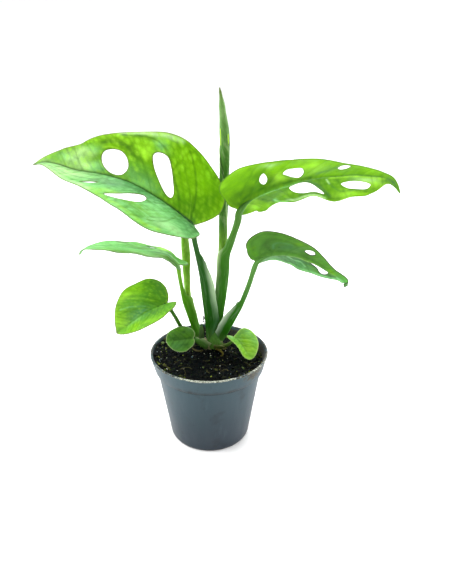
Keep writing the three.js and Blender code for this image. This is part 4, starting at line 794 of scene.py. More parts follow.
def inside(points, loop):
    """Which flat points lie inside a closed loop, by counting the edges to their right."""
    x, y = points[:, 0][:, None], points[:, 1][:, None]
    a, b = loop, np.roll(loop, -1, axis=0)
    crossed = (a[:, 1] > y) != (b[:, 1] > y)
    rise = np.where(b[:, 1] == a[:, 1], 1, b[:, 1] - a[:, 1])
    meets = a[:, 0] + (y - a[:, 1]) * (b[:, 0] - a[:, 0]) / rise
    return (crossed & (x < meets)).sum(1) % 2 == 1


def distance_to(points, path, closed=False, chunk=3000):
    """How far each flat point is from the nearest segment of a path."""
    a = path if closed else path[:-1]
    b = np.roll(path, -1, axis=0) if closed else path[1:]
    span = b - a
    size = (span**2).sum(1) + 1e-12
    found = []
    for start in range(0, len(points), chunk):
        p = points[start:start + chunk, None, :]
        share = np.clip(((p - a) * span).sum(2) / size, 0, 1)
        gap = p - a - share[:, :, None] * span
        found.append(np.sqrt((gap**2).sum(2).min(1)))
    return np.concatenate(found)


def triangulated(outer, holes, step, spine=None):
    """Flat points and triangles that fill a loop round its holes, about one step apart."""
    low, high = outer.min(0), outer.max(0)
    rows = np.arange(low[1], high[1], step * math.sqrt(0.75))
    grid = []
    for k, y in enumerate(rows):
        grid += [(x, y) for x in np.arange(low[0] + (step / 2) * (k % 2), high[0], step)]
    grid = np.array(grid)
    margin, narrow = 0.6 * step, 0.3 * step
    keep = inside(grid, outer) & (distance_to(grid, outer, closed=True) > margin)
    for hole in holes:
        keep &= ~inside(grid, hole) & (distance_to(grid, hole, closed=True) > margin)
    grid = grid[keep]
    if spine is not None:
        grid = grid[np.abs(grid[:, 1]) > narrow]
        clear = inside(spine, outer) & (distance_to(spine, outer, closed=True) > margin)
        for hole in holes:
            clear &= ~inside(spine, hole) & (distance_to(spine, hole, closed=True) > narrow)
        grid = np.vstack([grid, spine[clear]])
    points, edges = [], []
    for loop in [outer, *holes]:
        start = sum(len(p) for p in points)
        count = len(loop)
        points.append(loop)
        edges += [(start + i, start + (i + 1) % count) for i in range(count)]
    points = np.vstack([*points, grid])
    made = geometry.delaunay_2d_cdt([Vector(p) for p in points], edges, [], 0, 1e-5)
    flat = np.array([tuple(p) for p in made[0]])
    faces = np.array(made[2])
    middle = flat[faces].mean(1)
    keep = inside(middle, outer)
    for hole in holes:
        keep &= ~inside(middle, hole)
    return flat, faces[keep]


def open_edges(faces):
    """The edges that only one triangle has, in that triangle's direction."""
    directed = {}
    for a, b, c in faces.tolist():
        for edge in ((a, b), (b, c), (c, a)):
            directed[edge] = True
    return [edge for edge in directed if (edge[1], edge[0]) not in directed]


def side_veins(leaf, outer, length):
    """The leaf's side veins as flat paths, each with its strength."""
    found = []

    def grow(path, strength):
        within = inside(path, outer)
        last = len(path) if within.all() else int(np.argmin(within))
        if last > 3:
            found.append((path[:last], strength))

    reach = np.linspace(0.05, 1.15 * leaf["half_width"], 60)
    for name, sign in (("left", 1), ("right", -1)):
        starts = leaf["veins"][name]
        between = [(a + b) / 2 for a, b in zip(starts, starts[1:]) if b - a < 0.17 * length]
        for start, strength in [(s, 1.0) for s in starts] + [(s, 0.45) for s in between]:
            s = start + leaf["lean"] * reach + leaf["bow"] * reach**2
            grow(np.column_stack([s, sign * reach]), strength)
        for angle in leaf["veins"]["fan"]:
            turn = math.radians(angle)
            bent = np.column_stack([math.cos(turn) * reach + 0.012 * reach**2, sign * math.sin(turn) * reach])
            grow(bent, 0.8)
    return found


def painted(leaf, flat, seed):
    """The blade's colour at each flat point: a ground for each half with soft patches and strokes over it,
    which carry painted sheen, highlights and shade as well as the leaf's own colour.
    """
    wander = np.column_stack([noise_at(filled(flat), 0.16, seed + k) for k in (1, 2)])
    place = flat + wander * 2.2
    left = smooth_step(flat[:, 1], -0.8, 0.8)[:, None]
    ground = [np.array(rgb(*GREENS[key])) for key in leaf["ground"]]
    colour = ground[1] * (1 - left) + ground[0] * left
    for s, v, reach_s, reach_v, tint, strength in leaf["patches"]:
        near = place if min(reach_s, reach_v) > 1.2 else flat
        far = ((near[:, 0] - s) / reach_s) ** 2 + ((near[:, 1] - v) / reach_v) ** 2
        share = (strength * np.exp(-far))[:, None]
        colour = colour * (1 - share) + np.array(rgb(*GREENS[tint])) * share
    uneven = 0.85 + 0.45 * noise_at(filled(flat), 0.35, seed + 9)
    for path, width, tint, strength in leaf["strokes"]:
        line = curve_samples(path, 8 * len(path))
        share = (np.clip(strength * uneven, 0, 1) * bell(distance_to(flat, line), width))[:, None]
        colour = colour * (1 - share) + np.array(rgb(*GREENS[tint])) * share
    return np.column_stack([colour, np.ones(len(flat))])


def build_leaf(name, seed):
    """A leaf blade with its midrib, side veins, holes and rounded margin."""
    leaf = LEAVES[name]
    surface = LeafSurface(leaf)
    length = surface.length
    step = BLADE["step"] if length > BLADE["small"] else BLADE["small_step"]
    left = resampled([*leaf["left"], (length, 0)], step)
    right = resampled([*leaf["right"], (length, 0)], step)
    outer = np.vstack([[(0.1, 0)], left, right[-2::-1]])
    holes = [resampled(hole, step, closed=True) for hole in leaf["holes"]]
    spine = np.array([(s, 0) for s in np.arange(0.6, length - 0.3, step)])
    flat, faces = triangulated(outer, holes, step, spine)

    edge = distance_to(flat, outer, closed=True)
    rim = edge
    for hole in holes:
        rim = np.minimum(rim, distance_to(flat, hole, closed=True))
    vein = np.zeros(len(flat))
    nearest = np.full(len(flat), 1e3)
    for path, strength in side_veins(leaf, outer, length):
        gap = distance_to(flat, path)
        fade = 1 - 0.55 * np.clip(np.abs(flat[:, 1]) / leaf["half_width"], 0, 1)
        vein = np.maximum(vein, strength * fade * bell(gap, BLADE["vein_width"]))
        if strength > 0.7:
            nearest = np.minimum(nearest, gap)
    share = np.clip(flat[:, 0] / length, 0, 1)
    across = np.abs(flat[:, 1])
    nearest = np.minimum(nearest, across)

    uneven = noise_at(filled(flat), 0.11, seed) + 0.3 * noise_at(filled(flat), 0.45, seed + 3)
    ripple = leaf["look"]["ripple"] * uneven
    swell = BLADE["quilt"] * (1 - bell(nearest, BLADE["quilt_width"]))
    middle = (ripple + swell) * smooth_step(rim, 0, 2.5) * min(1, length / 40)
    end = smooth_step(flat[:, 0], -1.5, 1) * (1 - 0.75 * share)
    rib = BLADE["rib_height"] * bell(across, BLADE["rib_width"]) * end * min(1, 0.5 + length / 100)
    groove = BLADE["groove"] * bell(across, BLADE["groove_width"]) * (1 - 0.6 * share)
    half = BLADE["thickness"] / 2
    top = middle + half - groove - BLADE["vein_dip"] * vein
    low = middle - half - rib - BLADE["vein_rise"] * vein
    face, normal = surface.at(flat), surface.normals(flat)
    upper = face + normal * top[:, None]
    under = face + normal * low[:, None]

    count = len(flat)
    triangles = [tuple(f) for f in faces] + [(a + count, c + count, b + count) for a, b, c in faces]
    border = open_edges(faces)
    outward = {}
    for a, b in border:
        along = flat[b] - flat[a]
        away = np.array([along[1], -along[0]]) / (np.linalg.norm(along) + 1e-9)
        for point in (a, b):
            outward[point] = outward.get(point, 0) + away
    ids = sorted(outward)
    away = unit(np.array([outward[i] for i in ids]))
    bulged = surface.at(flat[ids] + away * BLADE["edge_round"]) + normal[ids] * middle[ids, None]
    rim_of = {point: 2 * count + k for k, point in enumerate(ids)}
    for a, b in border:
        triangles.append((b, a, rim_of[a], rim_of[b]))
        triangles.append((rim_of[b], rim_of[a], a + count, b + count))

    def everywhere(values):
        return np.concatenate([values, values, values[ids]])

    rib_line = leaf["look"]["line"] * bell(across, BLADE["groove_width"]) * smooth_step(flat[:, 0], -1, 1)
    slant = math.atan2(1, leaf["lean"])
    along = flat[:, 0] * math.cos(slant) + across * math.sin(slant)
    beside = flat[:, 0] * math.sin(slant) - across * math.cos(slant)
    attributes = {
        "tint": everywhere(painted(leaf, flat, seed)),
        "flat": everywhere(filled(flat) + (0, 0, 3.7 * seed)),
        "grain": everywhere(np.column_stack([0.62 * along, beside, 3.7 * seed + 9.0 * (flat[:, 1] > 0)])),
        "vein": everywhere(vein),
        "rib": everywhere(rib_line * (1 - 0.25 * share)),
        "edge": everywhere(edge),
        "cut": everywhere(rim),
    }
    piece = new_piece(name + "_blade", np.vstack([upper, under, bulged]), triangles, attributes)
    return dress(piece, leaf_material(name, leaf["look"]), "leaf_blade", name)


def leaf_material(name, look):
    """Green blade: soft spots between its veins, streaks, a faint net, a thin rim, waxy and lit through."""
    m = Shader(name + "_surface")
    shade, rib, far_light, near_light = (rgba(GREENS[look[key]]) for key in ("shade", "rib", "light", "near"))
    flat = m.attribute("flat", "Vector")
    side = m.add("SeparateXYZ", {"Vector": flat}).outputs["Y"]
    # The spots' pale colour changes from the far half to the near one; where the near colour is mint or pale
    # it is painted sheen.
    light = m.blend(m.remap(side, -1.0, 1.0), far_light, near_light)
    grain = m.shifted(m.attribute("grain", "Vector"), 0.45, 1.1)
    spots = m.cells(grain, look["scale"], "F1")
    mottle = m.noise(grain, 1.1 * look["scale"], 3.0, 0.6)
    zone = m.remap(m.noise(flat, 0.1, 2.0), 0.36, 0.6, 0.35 * look["mottle"], look["mottle"])
    spotted = m.maths("MULTIPLY", m.remap(spots, 0.62, 0.12), m.remap(mottle, 0.34, 0.6, 0.25, 1.0))
    colour = m.blend(m.maths("MULTIPLY", spotted, zone), m.attribute("tint", "Color"), light)
    netted = m.maths("MULTIPLY", m.remap(spots, 0.45, 0.9, 0.0, 0.75), m.remap(mottle, 0.62, 0.36, 0.25, 1.0))
    colour = m.blend(m.maths("MULTIPLY", netted, zone), colour, shade)
    weight = m.remap(side, -1.0, 1.0, look["streaks"][1], look["streaks"][0])
    lines = m.noise(m.stretched(m.shifted(flat, 0.1, 1.5), (0.09, 0.95, 1.0)), 1.0, 3.0, 0.55)
    colour = m.blend(m.maths("MULTIPLY", m.remap(lines, 0.52, 0.7), weight), colour, light)
    colour = m.blend(m.maths("MULTIPLY", m.remap(lines, 0.48, 0.3), weight), colour, shade)
    cells = m.cells(m.shifted(flat, 0.8, 0.8), 0.95)
    colour = m.blend(m.remap(cells, 0.0, 0.14, 0.1, 0.0), colour, shade)
    fine = m.noise(flat, 3.2, 4.0, 0.7)
    colour = m.blend(0.16, colour, m.blend(fine, (0.0, 0.0, 0.0, 1.0), (1.0, 1.0, 1.0, 1.0)), "OVERLAY")
    colour = m.blend(m.maths("MULTIPLY", m.attribute("vein"), 0.34), colour, shade)
    colour = m.blend(m.maths("MULTIPLY", m.attribute("rib"), 0.95), colour, rib)
    colour = m.blend(m.remap(m.attribute("edge"), 0.3, 1.5, 0.2, 0.0), colour, light)
    colour = m.blend(m.remap(m.attribute("cut"), 0.06, 0.46, 0.8, 0.0), colour, rgba(look["rim"]))
    roughness = m.remap(m.noise(flat, 0.5, 3.0), 0.3, 0.7, 0.36, 0.52)
    height = m.maths("ADD", m.maths("MULTIPLY", cells, 0.9), m.maths("MULTIPLY", fine, 0.35))
    normal = m.bump(height, 0.3, 0.0002)
    return m.leafy(colour, (1.0, 1.0, 0.5, 1.0), roughness, normal, 0.5, 0.16)


# Leaf stalks: path of the centre, and stations along it that say how wide the stalk is and how far
# its sheath wraps round a hollow: share of the length, radius, hollow, facing, left and right in degrees, and
# open, 1 for a full sheath. colours: foot, middle and top. edge: the colour of the sheath's thin edge, wing:
# how strong it is, and pale: from where to where it turns pale, by share of the length.
# A sheath's pale wing is partly its thin papery edge and partly a painted highlight.
STALKS = {
    "stalk_a": {
        "path": [
            (-0.4, 9.7, 46.2), (-0.6, 9, 54), (-1.1, 8.8, 62), (-2.1, 8.6, 74), (-3.3, 7, 87),
            (-4.6, 3.8, 97), (-6.2, 0.3, 107.5), (-6.9, -1.6, 114.2),
        ],
        "stations": [
            (0, 0.9, 2.4, 225, 70, 14, 1), (0.11, 1.2, 2.75, 220, 75, 48, 1),
            (0.23, 1.4, 3.2, 212, 75, 98, 1), (0.4, 1.5, 4.7, 198, 45, 72, 1),
            (0.58, 1.5, 3.5, 190, 55, 86, 1), (0.7, 1.5, 2.8, 190, 60, 82, 0.75),
            (0.82, 1.4, 1, 190, 60, 60, 0), (1, 1.35, 1, 190, 60, 60, 0),
        ],
        "colours": [(110, 156, 74), (30, 94, 8), (42, 92, 34)], "edge": (216, 243, 204), "wing": 0.95,
        "pale": (0.2, 0.46),
    },
    "stalk_b": {
        "path": [
            (4.9, 11.5, 48.9), (5.8, 10.9, 56), (6.9, 10, 66), (8.1, 8.9, 76), (9, 7.8, 87),
            (9.2, 7.1, 97), (11.6, 3.4, 107.5), (14, -0.5, 117), (14.5, -1.7, 121.4),
        ],
        "stations": [
            (0, 0.6, 1.62, 350, 150, 150, 1), (0.09, 0.7, 1.72, 345, 150, 150, 1),
            (0.22, 0.8, 1.97, 335, 150, 150, 1), (0.35, 0.95, 2.22, 325, 150, 145, 1),
            (0.49, 1.15, 2.47, 312, 140, 140, 1), (0.62, 1.45, 2.62, 302, 110, 110, 1),
            (0.74, 1.75, 2.2, 300, 60, 60, 0.3), (0.87, 1.6, 1, 300, 60, 60, 0),
            (1, 1.5, 1, 300, 60, 60, 0),
        ],
        "colours": [(104, 152, 72), (54, 124, 18), (78, 130, 46)], "edge": (220, 244, 186), "wing": 1,
        "pale": (0.15, 0.5),
    },
    "stalk_c": {
        "path": [
            (5.4, 10.6, 46.4), (8.6, 9.4, 53.6), (12.2, 7.3, 62.4), (16.3, 4.2, 72.8), (19.7, 1, 84.2),
            (22.6, -1.4, 95.6),
        ],
        "stations": [
            (0, 1, 2.4, 335, 95, 45, 1), (0.14, 1.3, 2.9, 335, 100, 50, 1),
            (0.32, 1.5, 3.2, 335, 92, 66, 1), (0.48, 1.5, 2.8, 335, 74, 62, 0.8),
            (0.58, 1.4, 1.6, 335, 60, 60, 0.1), (1, 1.3, 1, 335, 60, 60, 0),
        ],
        "colours": [(104, 156, 66), (44, 112, 16), (86, 142, 58)], "edge": (240, 254, 234), "wing": 0.95,
        "pale": (-0.1, 0.3),
    },
    "stalk_d": {
        "path": [
            (-5, 11.7, 46.3), (-7.6, 11.7, 53), (-10.2, 11, 62), (-12.3, 9.6, 70.4), (-13.2, 6.3, 78.4),
            (-13.9, 2.4, 86.8), (-14.4, -0.5, 94.2),
        ],
        "stations": [
            (0, 0.8, 1.9, 283, 60, 90, 1), (0.15, 1.1, 1.75, 253, 90, 110, 1),
            (0.35, 1.15, 1.95, 243, 90, 120, 1), (0.5, 1.2, 2.1, 240, 70, 110, 1),
            (0.64, 1.1, 1.8, 240, 60, 60, 0.25), (0.74, 1, 1, 240, 60, 60, 0), (1, 1, 1, 240, 60, 60, 0),
        ],
        "colours": [(104, 158, 60), (76, 146, 14), (118, 176, 48)], "edge": (192, 232, 124), "wing": 0.6,
        "pale": (0.1, 0.4),
    },
    "stalk_e": {
        "path": [
            (-9.2, 14, 46.5), (-12.6, 10.4, 52.4), (-14.9, 6, 59.3), (-16.4, 0.6, 66.3),
            (-17.8, -4, 72.1), (-19, -6.5, 76.2),
        ],
        "stations": [
            (0, 1, 1.4, 205, 70, 70, 0.6), (0.3, 1.1, 1, 205, 60, 60, 0), (1, 1, 1, 205, 60, 60, 0),
        ],
        "colours": [(90, 132, 50), (62, 112, 24), (54, 100, 26)], "edge": (110, 142, 70), "wing": 0.3,
        "pale": (-0.2, 0),
    },
    "stalk_f": {
        "path": [(-1.6, 6, 46.3), (-3.4, 3.4, 49), (-5.8, 0.2, 53), (-7.4, -2.8, 56)],
        "stations": [
            (0, 1.1, 2, 250, 80, 80, 1), (0.55, 1.3, 2, 250, 80, 80, 0.9), (1, 0.9, 1, 250, 60, 60, 0.1),
        ],
        "colours": [(104, 132, 70), (74, 116, 46), (60, 110, 30)], "edge": (182, 200, 150), "wing": 0.9,
        "pale": (-0.2, 0),
    },
    "stalk_g": {
        "path": [(2.3, 6.9, 46.3), (5.6, 6.6, 46.4), (9.2, 6.8, 47.2), (11.5, 6.8, 49), (12.3, 6.6, 50.4)],
        "lying": True,
        "stations": [
            (0, 0.9, 1.2, 250, 60, 60, 0.6), (0.5, 0.85, 1.2, 250, 60, 60, 0.6),
            (1, 0.7, 1, 250, 60, 60, 0),
        ],
        "colours": [(96, 96, 50), (90, 112, 38), (96, 142, 50)], "edge": (182, 188, 140), "wing": 0.9,
        "pale": (-0.2, 0),
    },
}
# outer and inner: how many points a ring has on its outside and in its hollow. front and back: how far each
# of the two reaches round, in degrees, where the stalk is round. wing: the sheath's thickness. body: how far
# the thick middle spreads, in radii. snug: how wide the back is beside the front. knee: how much thicker the
# stalk is just below the blade.
STALK = {
    "step": 0.9, "outer": 30, "inner": 20, "front": 125, "back": 42, "wing": 0.24, "body": 1.45, "snug": 0.86,
    "knee": 0.12, "knee_at": 0.97, "knee_reach": 0.06,
}


def stalk_ring(centre, axes, station):
    """One ring of a stalk, from round to the thin crescent of its sheath, with each point's wing share."""
    r, hollow, facing, left, right, opened = station
    angles, radii, rounds, round_radii, wings = [], [], [], [], []
    for u in np.linspace(-1, 1, STALK["outer"]):
        angle = u * (left if u < 0 else right)
        arc = math.radians(angle) * (hollow + r)
        thick = STALK["wing"] + max(2 * r - STALK["wing"], 0) * bell(arc, STALK["body"] * r)
        angles.append(angle)
        radii.append(hollow + thick)
        rounds.append(u * STALK["front"])
        round_radii.append(r)
        wings.append(abs(u) * opened)
    for u in np.linspace(1, -1, STALK["inner"]):
        angles.append(u * (left if u < 0 else right))
        radii.append(hollow)
        rounds.append(180 - u * STALK["back"])
        round_radii.append(r * STALK["snug"])
        wings.append(abs(u) * opened)

    def spread(start, degrees, radius):
        turn = np.radians(np.asarray(degrees) + facing)
        reach = np.asarray(radius)[:, None]
        return start + axes[0] * np.cos(turn)[:, None] * reach + axes[1] * np.sin(turn)[:, None] * reach

    middle = spread(centre, [180], [hollow + r])[0]
    sheath = spread(middle, angles, radii)
    rod = spread(centre, rounds, round_radii)
    return rod * (1 - opened) + sheath * opened, np.array(wings)


def build_stalk(name, seed):
    """A leaf stalk from the crown up into the leaf's midrib."""
    stalk = STALKS[name]
    leaf = LEAVES[name.replace("stalk", "leaf")]
    surface = LeafSurface(leaf)
    inward = min(10, 0.2 * surface.length)
    run = np.array([[0.15, 0], [0.5, 0], [1, 0]]) * inward
    sunk = np.array([0.75, 0.6, 0.2])[:, None]
    join = surface.at(run) - surface.normals(run) * sunk
    free = Curve(stalk["path"])
    whole = Curve([*stalk["path"], *join])
    reference = np.array([0.0, 1, 0] if stalk.get("lying") else [1.0, 0, 0])
    table = np.array(stalk["stations"], float)
    rings, wings, rounds, shares = [], [], [], []
    for s in np.linspace(0, whole.length, int(whole.length / STALK["step"]) + 2):
        share = s / free.length
        station = [float(eased(list(zip(table[:, 0], table[:, k])), share)) for k in range(1, 7)]
        swell = 1 + STALK["knee"] * bell(share - STALK["knee_at"], STALK["knee_reach"])
        taper = 1 - 0.68 * float(smooth_step(s, free.length, whole.length))
        station[0] *= swell * taper
        flutter = drift(s * 0.22, seed, seed)
        station[3] *= 1 + 0.12 * flutter
        station[4] *= 1 - 0.1 * flutter
        axes = cross_frame(whole.direction(s), reference)
        ring, wing = stalk_ring(whole.place(s), axes, station)
        rings.append(ring)
        wings.append(wing)
        around = np.linspace(0, 1, len(ring))
        rounds.append(np.column_stack([around * 12, np.full(len(ring), s), np.full(len(ring), 5.0 * seed)]))
        shares.append(np.full(len(ring), min(share, 1)))
    attributes = {"wing": ring_values(wings), "flat": ring_values(rounds), "share": ring_values(shares)}
    faces = ring_faces(len(rings), len(rings[0]))
    piece = new_piece(name + "_sheathed", ring_points(rings), faces, attributes)
    return dress(piece, stalk_material(name, stalk), "leaf_stalk", name)


def stalk_material(name, stalk):
    """Satin green stalk with fine lengthwise lines, a pale foot and thin pale sheath edges, partly the papery
    edge and partly a painted highlight.
    """
    m = Shader(name + "_surface")
    flat = m.attribute("flat", "Vector")
    share = m.attribute("share")
    foot, middle, top = (rgba(c) for c in stalk["colours"])
    edge = rgba(stalk["edge"])
    colour = m.blend(m.remap(share, 0.0, 0.16), foot, middle)
    colour = m.blend(m.remap(share, 0.45, 0.9), colour, top)
    lines = m.noise(m.stretched(flat, (2.2, 0.07, 1.0)), 1.0, 4.0, 0.6)
    colour = m.blend(m.remap(lines, 0.52, 0.78, 0.0, 0.16), colour, edge)
    colour = m.blend(m.remap(lines, 0.46, 0.25, 0.0, 0.4), colour, rgba((20, 66, 6)))
    broad = m.noise(m.stretched(flat, (0.7, 0.05, 1.0)), 1.0, 2.0)
    colour = m.blend(m.remap(broad, 0.52, 0.75, 0.0, 0.3), colour, rgba(GREENS["leafy"]))
    wing = m.maths("MULTIPLY", m.remap(m.attribute("wing"), 0.4, 1.0), m.remap(broad, 0.25, 0.6, 0.75, 1.0))
    # Partly painted highlight: the sheath's wing turns pale toward its edge.
    thin = m.blend(m.remap(share, *stalk["pale"]), rgba((84, 140, 84)), edge)
    colour = m.blend(m.maths("MULTIPLY", wing, stalk["wing"]), colour, thin)
    normal = m.bump(lines, 0.3, 0.0003)
    roughness = m.remap(lines, 0.3, 0.7, 0.34, 0.5)
    return m.leafy(colour, (0.95, 1.0, 0.45, 1.0), roughness, normal, 0.3, 0.14)


# Rolled new leaves: a thin sheet wound round itself, drawn out to a point. radii and seam: the radius, and
# the side that the free edge faces in degrees, by share of the length. turns: how often the sheet goes round.
# slits: middle height, half the length and the side faced. creases: height and side of both ends.
ROLLED = {
    "rolled_leaf_tall": {
        "path": [
            (2.8, 11.9, 48.9), (3.6, 11.5, 56), (4.5, 11.1, 65), (5.4, 10.8, 75), (6.2, 10.5, 85.5),
            (6.8, 10.4, 95.5), (7.1, 10.8, 105.4), (7.4, 11.3, 117), (7.6, 11.6, 129), (8, 11.6, 140.2),
            (8, 11.4, 149.8), (7.7, 11.2, 157.3), (7, 11, 164.9), (6.4, 10.8, 170.6), (5.7, 10.8, 175.4),
        ],
        "radii": [
            (0, 1.1), (0.14, 1.6), (0.27, 2.2), (0.4, 2.35), (0.84, 2.35), (0.93, 1.5), (0.98, 0.7),
            (1, 0.3),
        ],
        "seam": [(0.4, 350), (0.6, 300), (0.69, 262), (0.745, 214), (0.82, 140), (1, 110)], "turns": 1.7,
        "slits": [(154, 4.4, 213), (152.6, 3.1, 322)],
        "creases": [((144, 210), (135, 264)), ((150.4, 328), (149.2, 350))],
        "colours": [(164, 222, 56), (70, 126, 36), (116, 164, 84)], "edge": (196, 226, 158),
    },
    "rolled_leaf_short": {
        "path": [
            (-5.7, 14.4, 48.1), (-6.9, 14.4, 54), (-9, 13.8, 62.4), (-10.5, 13.2, 70.6), (-11, 12.8, 77),
            (-11.2, 12.7, 85), (-11.4, 12.7, 94.5), (-11.8, 12.8, 104.2), (-11.8, 12.9, 113),
            (-11.7, 13, 123.4),
        ],
        "radii": [
            (0, 0.9), (0.2, 1.5), (0.34, 1.8), (0.5, 2), (0.65, 2.1), (0.82, 1.7), (0.92, 1.1), (1, 0.3),
        ],
        "seam": [(0.3, 300), (0.5, 330), (0.7, 400), (1, 430)], "turns": 1.6, "slits": [], "creases": [],
        "colours": [(140, 194, 56), (116, 176, 34), (84, 138, 24)], "edge": (188, 224, 116),
    },
}
TIP_BROWN = (106, 116, 56)
# sheet and gap: how thick the sheet is and how far its turns lie apart. slit and crease: how deep they are.
# unrolled: the sheet's length, in radii. fringe: how wide its pale free edge is.
ROLL = {
    "step": 0.7, "points": 108, "sheet": 0.28, "gap": 0.12, "slit": 0.3, "crease": 0.14, "unrolled": 10,
    "fringe": 0.55,
}


def build_roll(name, seed):
    """A new leaf still rolled up, with the free edge of its sheet winding up the outside."""
    roll = ROLLED[name]
    path = Curve(roll["path"])
    rings, edges, rounds, shares, slits = [], [], [], [], []
    wound = np.linspace(0, 1, ROLL["points"])
    for s in np.linspace(0, path.length, int(path.length / ROLL["step"]) + 2):
        share = s / path.length
        radius = float(eased(roll["radii"], share))
        radius *= 1 + 0.04 * drift(s * 0.14, 0, seed)
        seam = float(eased(roll["seam"], share)) + 8 * drift(s * 0.06, 4, seed)
        axes = cross_frame(path.direction(s), np.array([1.0, 0, 0]))
        sheet = min(ROLL["sheet"], radius * 0.3)
        degrees = seam - wound * roll["turns"] * 360
        turns = np.radians(degrees)
        free = 0.5 * float(smooth_step(share, 0.45, 0.6))
        spiral = radius + (sheet + ROLL["gap"]) * (free - roll["turns"] * wound)
        height = float(path.place(s)[2])
        outside = smooth_step(wound, 1.02 / roll["turns"], 0.98 / roll["turns"])
        slit = slit_on(roll, height, degrees, radius) * outside
        crease = crease_on(roll, height, degrees, radius) * outside
        sunk = ROLL["slit"] * np.clip(slit, 0, 1) + ROLL["crease"] * crease
        spiral = np.maximum(spiral - sunk, sheet * 1.2)
        loop_angle = np.concatenate([turns, turns[::-1]])
        loop_reach = np.concatenate([spiral, spiral[::-1] - sheet])
        turned = np.cos(loop_angle)[:, None] * axes[0] + np.sin(loop_angle)[:, None] * axes[1]
        rings.append(path.place(s) + turned * loop_reach[:, None])
        sheet_along = wound * radius * ROLL["unrolled"]
        fringe = bell(sheet_along, ROLL["fringe"])
        edges.append(np.concatenate([fringe, fringe[::-1]]))
        slit = slit - crease
        slits.append(np.concatenate([slit, slit[::-1]]))
        around = np.concatenate([sheet_along, sheet_along[::-1]])
        rounds.append(np.column_stack([around, np.full(len(around), s), np.full(len(around), 9.0 * seed)]))
        shares.append(np.full(len(around), share))
    attributes = {
        "wing": ring_values(edges), "flat": ring_values(rounds), "share": ring_values(shares),
        "slit": ring_values(slits),
    }
    faces = [face[::-1] for face in ring_faces(len(rings), len(rings[0]))]
    piece = new_piece(name + "_wound", ring_points(rings), faces, attributes)
    return dress(piece, roll_material(name, roll), "rolled_leaf", name)


def slit_on(roll, height, degrees, radius):
    """1 in the middle of a slit of the roll, below 0 on its lips, which take painted shade, and 0 elsewhere.
    """
    found = np.zeros(len(degrees))
    for middle, reach, facing in roll["slits"]:
        apart = np.radians((degrees - facing + 180) % 360 - 180) * radius
        within = smooth_step(reach - abs(height - middle), 0, 1)
        found += within * (1.9 * bell(apart, 0.55) - 0.9 * bell(apart, 1.1))
    return found


def crease_on(roll, height, degrees, radius):
    """How near each point is to a crease, a slanting line of painted shade where one layer ends on another.
    """
    found = np.zeros(len(degrees))
    for (top, facing), (foot, turned) in roll["creases"]:
        share = np.clip((top - height) / (top - foot), 0, 1)
        apart = np.radians((degrees - facing - (turned - facing) * share + 180) % 360 - 180) * radius
        beyond = max(height - top, foot - height, 0)
        found = np.maximum(found, bell(np.hypot(apart, beyond), 0.3))
    return found


def roll_material(name, roll):
    """Waxy young blade with slanting side veins, a bright free edge, yellow inside its slits, and painted
    shade along its creases and the lips of its slits.
    """
    m = Shader(name + "_surface")
    flat = m.attribute("flat", "Vector")
    share = m.attribute("share")
    foot, middle, top = (rgba(c) for c in roll["colours"])
    edge = rgba(roll["edge"])
    colour = m.blend(m.remap(share, 0.3, 0.5), foot, middle)
    colour = m.blend(m.remap(share, 0.72, 0.9), colour, top)
    slant = m.stretched(m.shifted(flat, 0.2, 1.5), (0.5, 0.16, 1.0))
    bands = m.noise(slant, 1.0, 3.0)
    colour = m.blend(m.remap(bands, 0.5, 0.72, 0.0, 0.35), colour, edge)
    colour = m.blend(m.remap(bands, 0.48, 0.3, 0.0, 0.25), colour, rgba(GREENS["deep"]))
    colour = m.blend(m.remap(share, 0.95, 0.995, 0.0, 0.8), colour, rgba(TIP_BROWN))
    lines = m.noise(m.stretched(flat, (1.8, 0.07, 1.0)), 1.0, 3.0, 0.6)
    colour = m.blend(m.remap(lines, 0.55, 0.8, 0.0, 0.2), colour, edge)
    colour = m.blend(m.remap(m.attribute("wing"), 0.3, 1.0, 0.0, 0.85), colour, edge)
    slit = m.attribute("slit")
    # Painted shade: dark along the creases and the lips of the slits, where one layer ends on the one under
    # it.
    colour = m.blend(m.remap(slit, -0.1, -0.5, 0.0, 0.85), colour, rgba(GREENS["dark"]))
    colour = m.blend(m.remap(slit, 0.15, 0.6), colour, rgba(GREENS["yellow"]))
    normal = m.bump(m.maths("ADD", bands, m.maths("MULTIPLY", lines, 0.6)), 0.3, 0.0003)
    roughness = m.remap(bands, 0.3, 0.7, 0.36, 0.5)
    return m.leafy(colour, (0.95, 1.0, 0.45, 1.0), roughness, normal, 0.35, 0.2)


# Pot
def lathe_points(profile, sides):
    """A profile of (radius, height) turned round the axis, as rings of points."""
    return [filled(r * circle(sides), z) for r, z in profile]


def rounded(corners, step=0.35):
    """A profile through corners (radius, height, rounding), each corner rounded and each run divided."""
    places = [np.array(corner[:2], float) for corner in corners]
    rounds = [corner[2] for corner in corners]
    line = [places[0]]
    for k in range(1, len(places) - 1):
        before, here, after = places[k - 1], places[k], places[k + 1]
        back, ahead = unit(before - here), unit(after - here)
        reach = min(rounds[k], 0.45 * np.linalg.norm(before - here), 0.45 * np.linalg.norm(after - here))
        start, end = here + back * reach, here + ahead * reach
        for u in np.linspace(0, 1, 5) if reach > 0.05 else [0.5]:
            line.append(start * (1 - u) ** 2 + here * 2 * u * (1 - u) + end * u**2)
    line.append(places[-1])
    profile = [line[0]]
    for a, b in zip(line, line[1:]):
        parts = max(int(np.linalg.norm(b - a) / (6 * step)), 1)
        profile += [a + (b - a) * (k + 1) / parts for k in range(parts)]
    return np.array(profile)


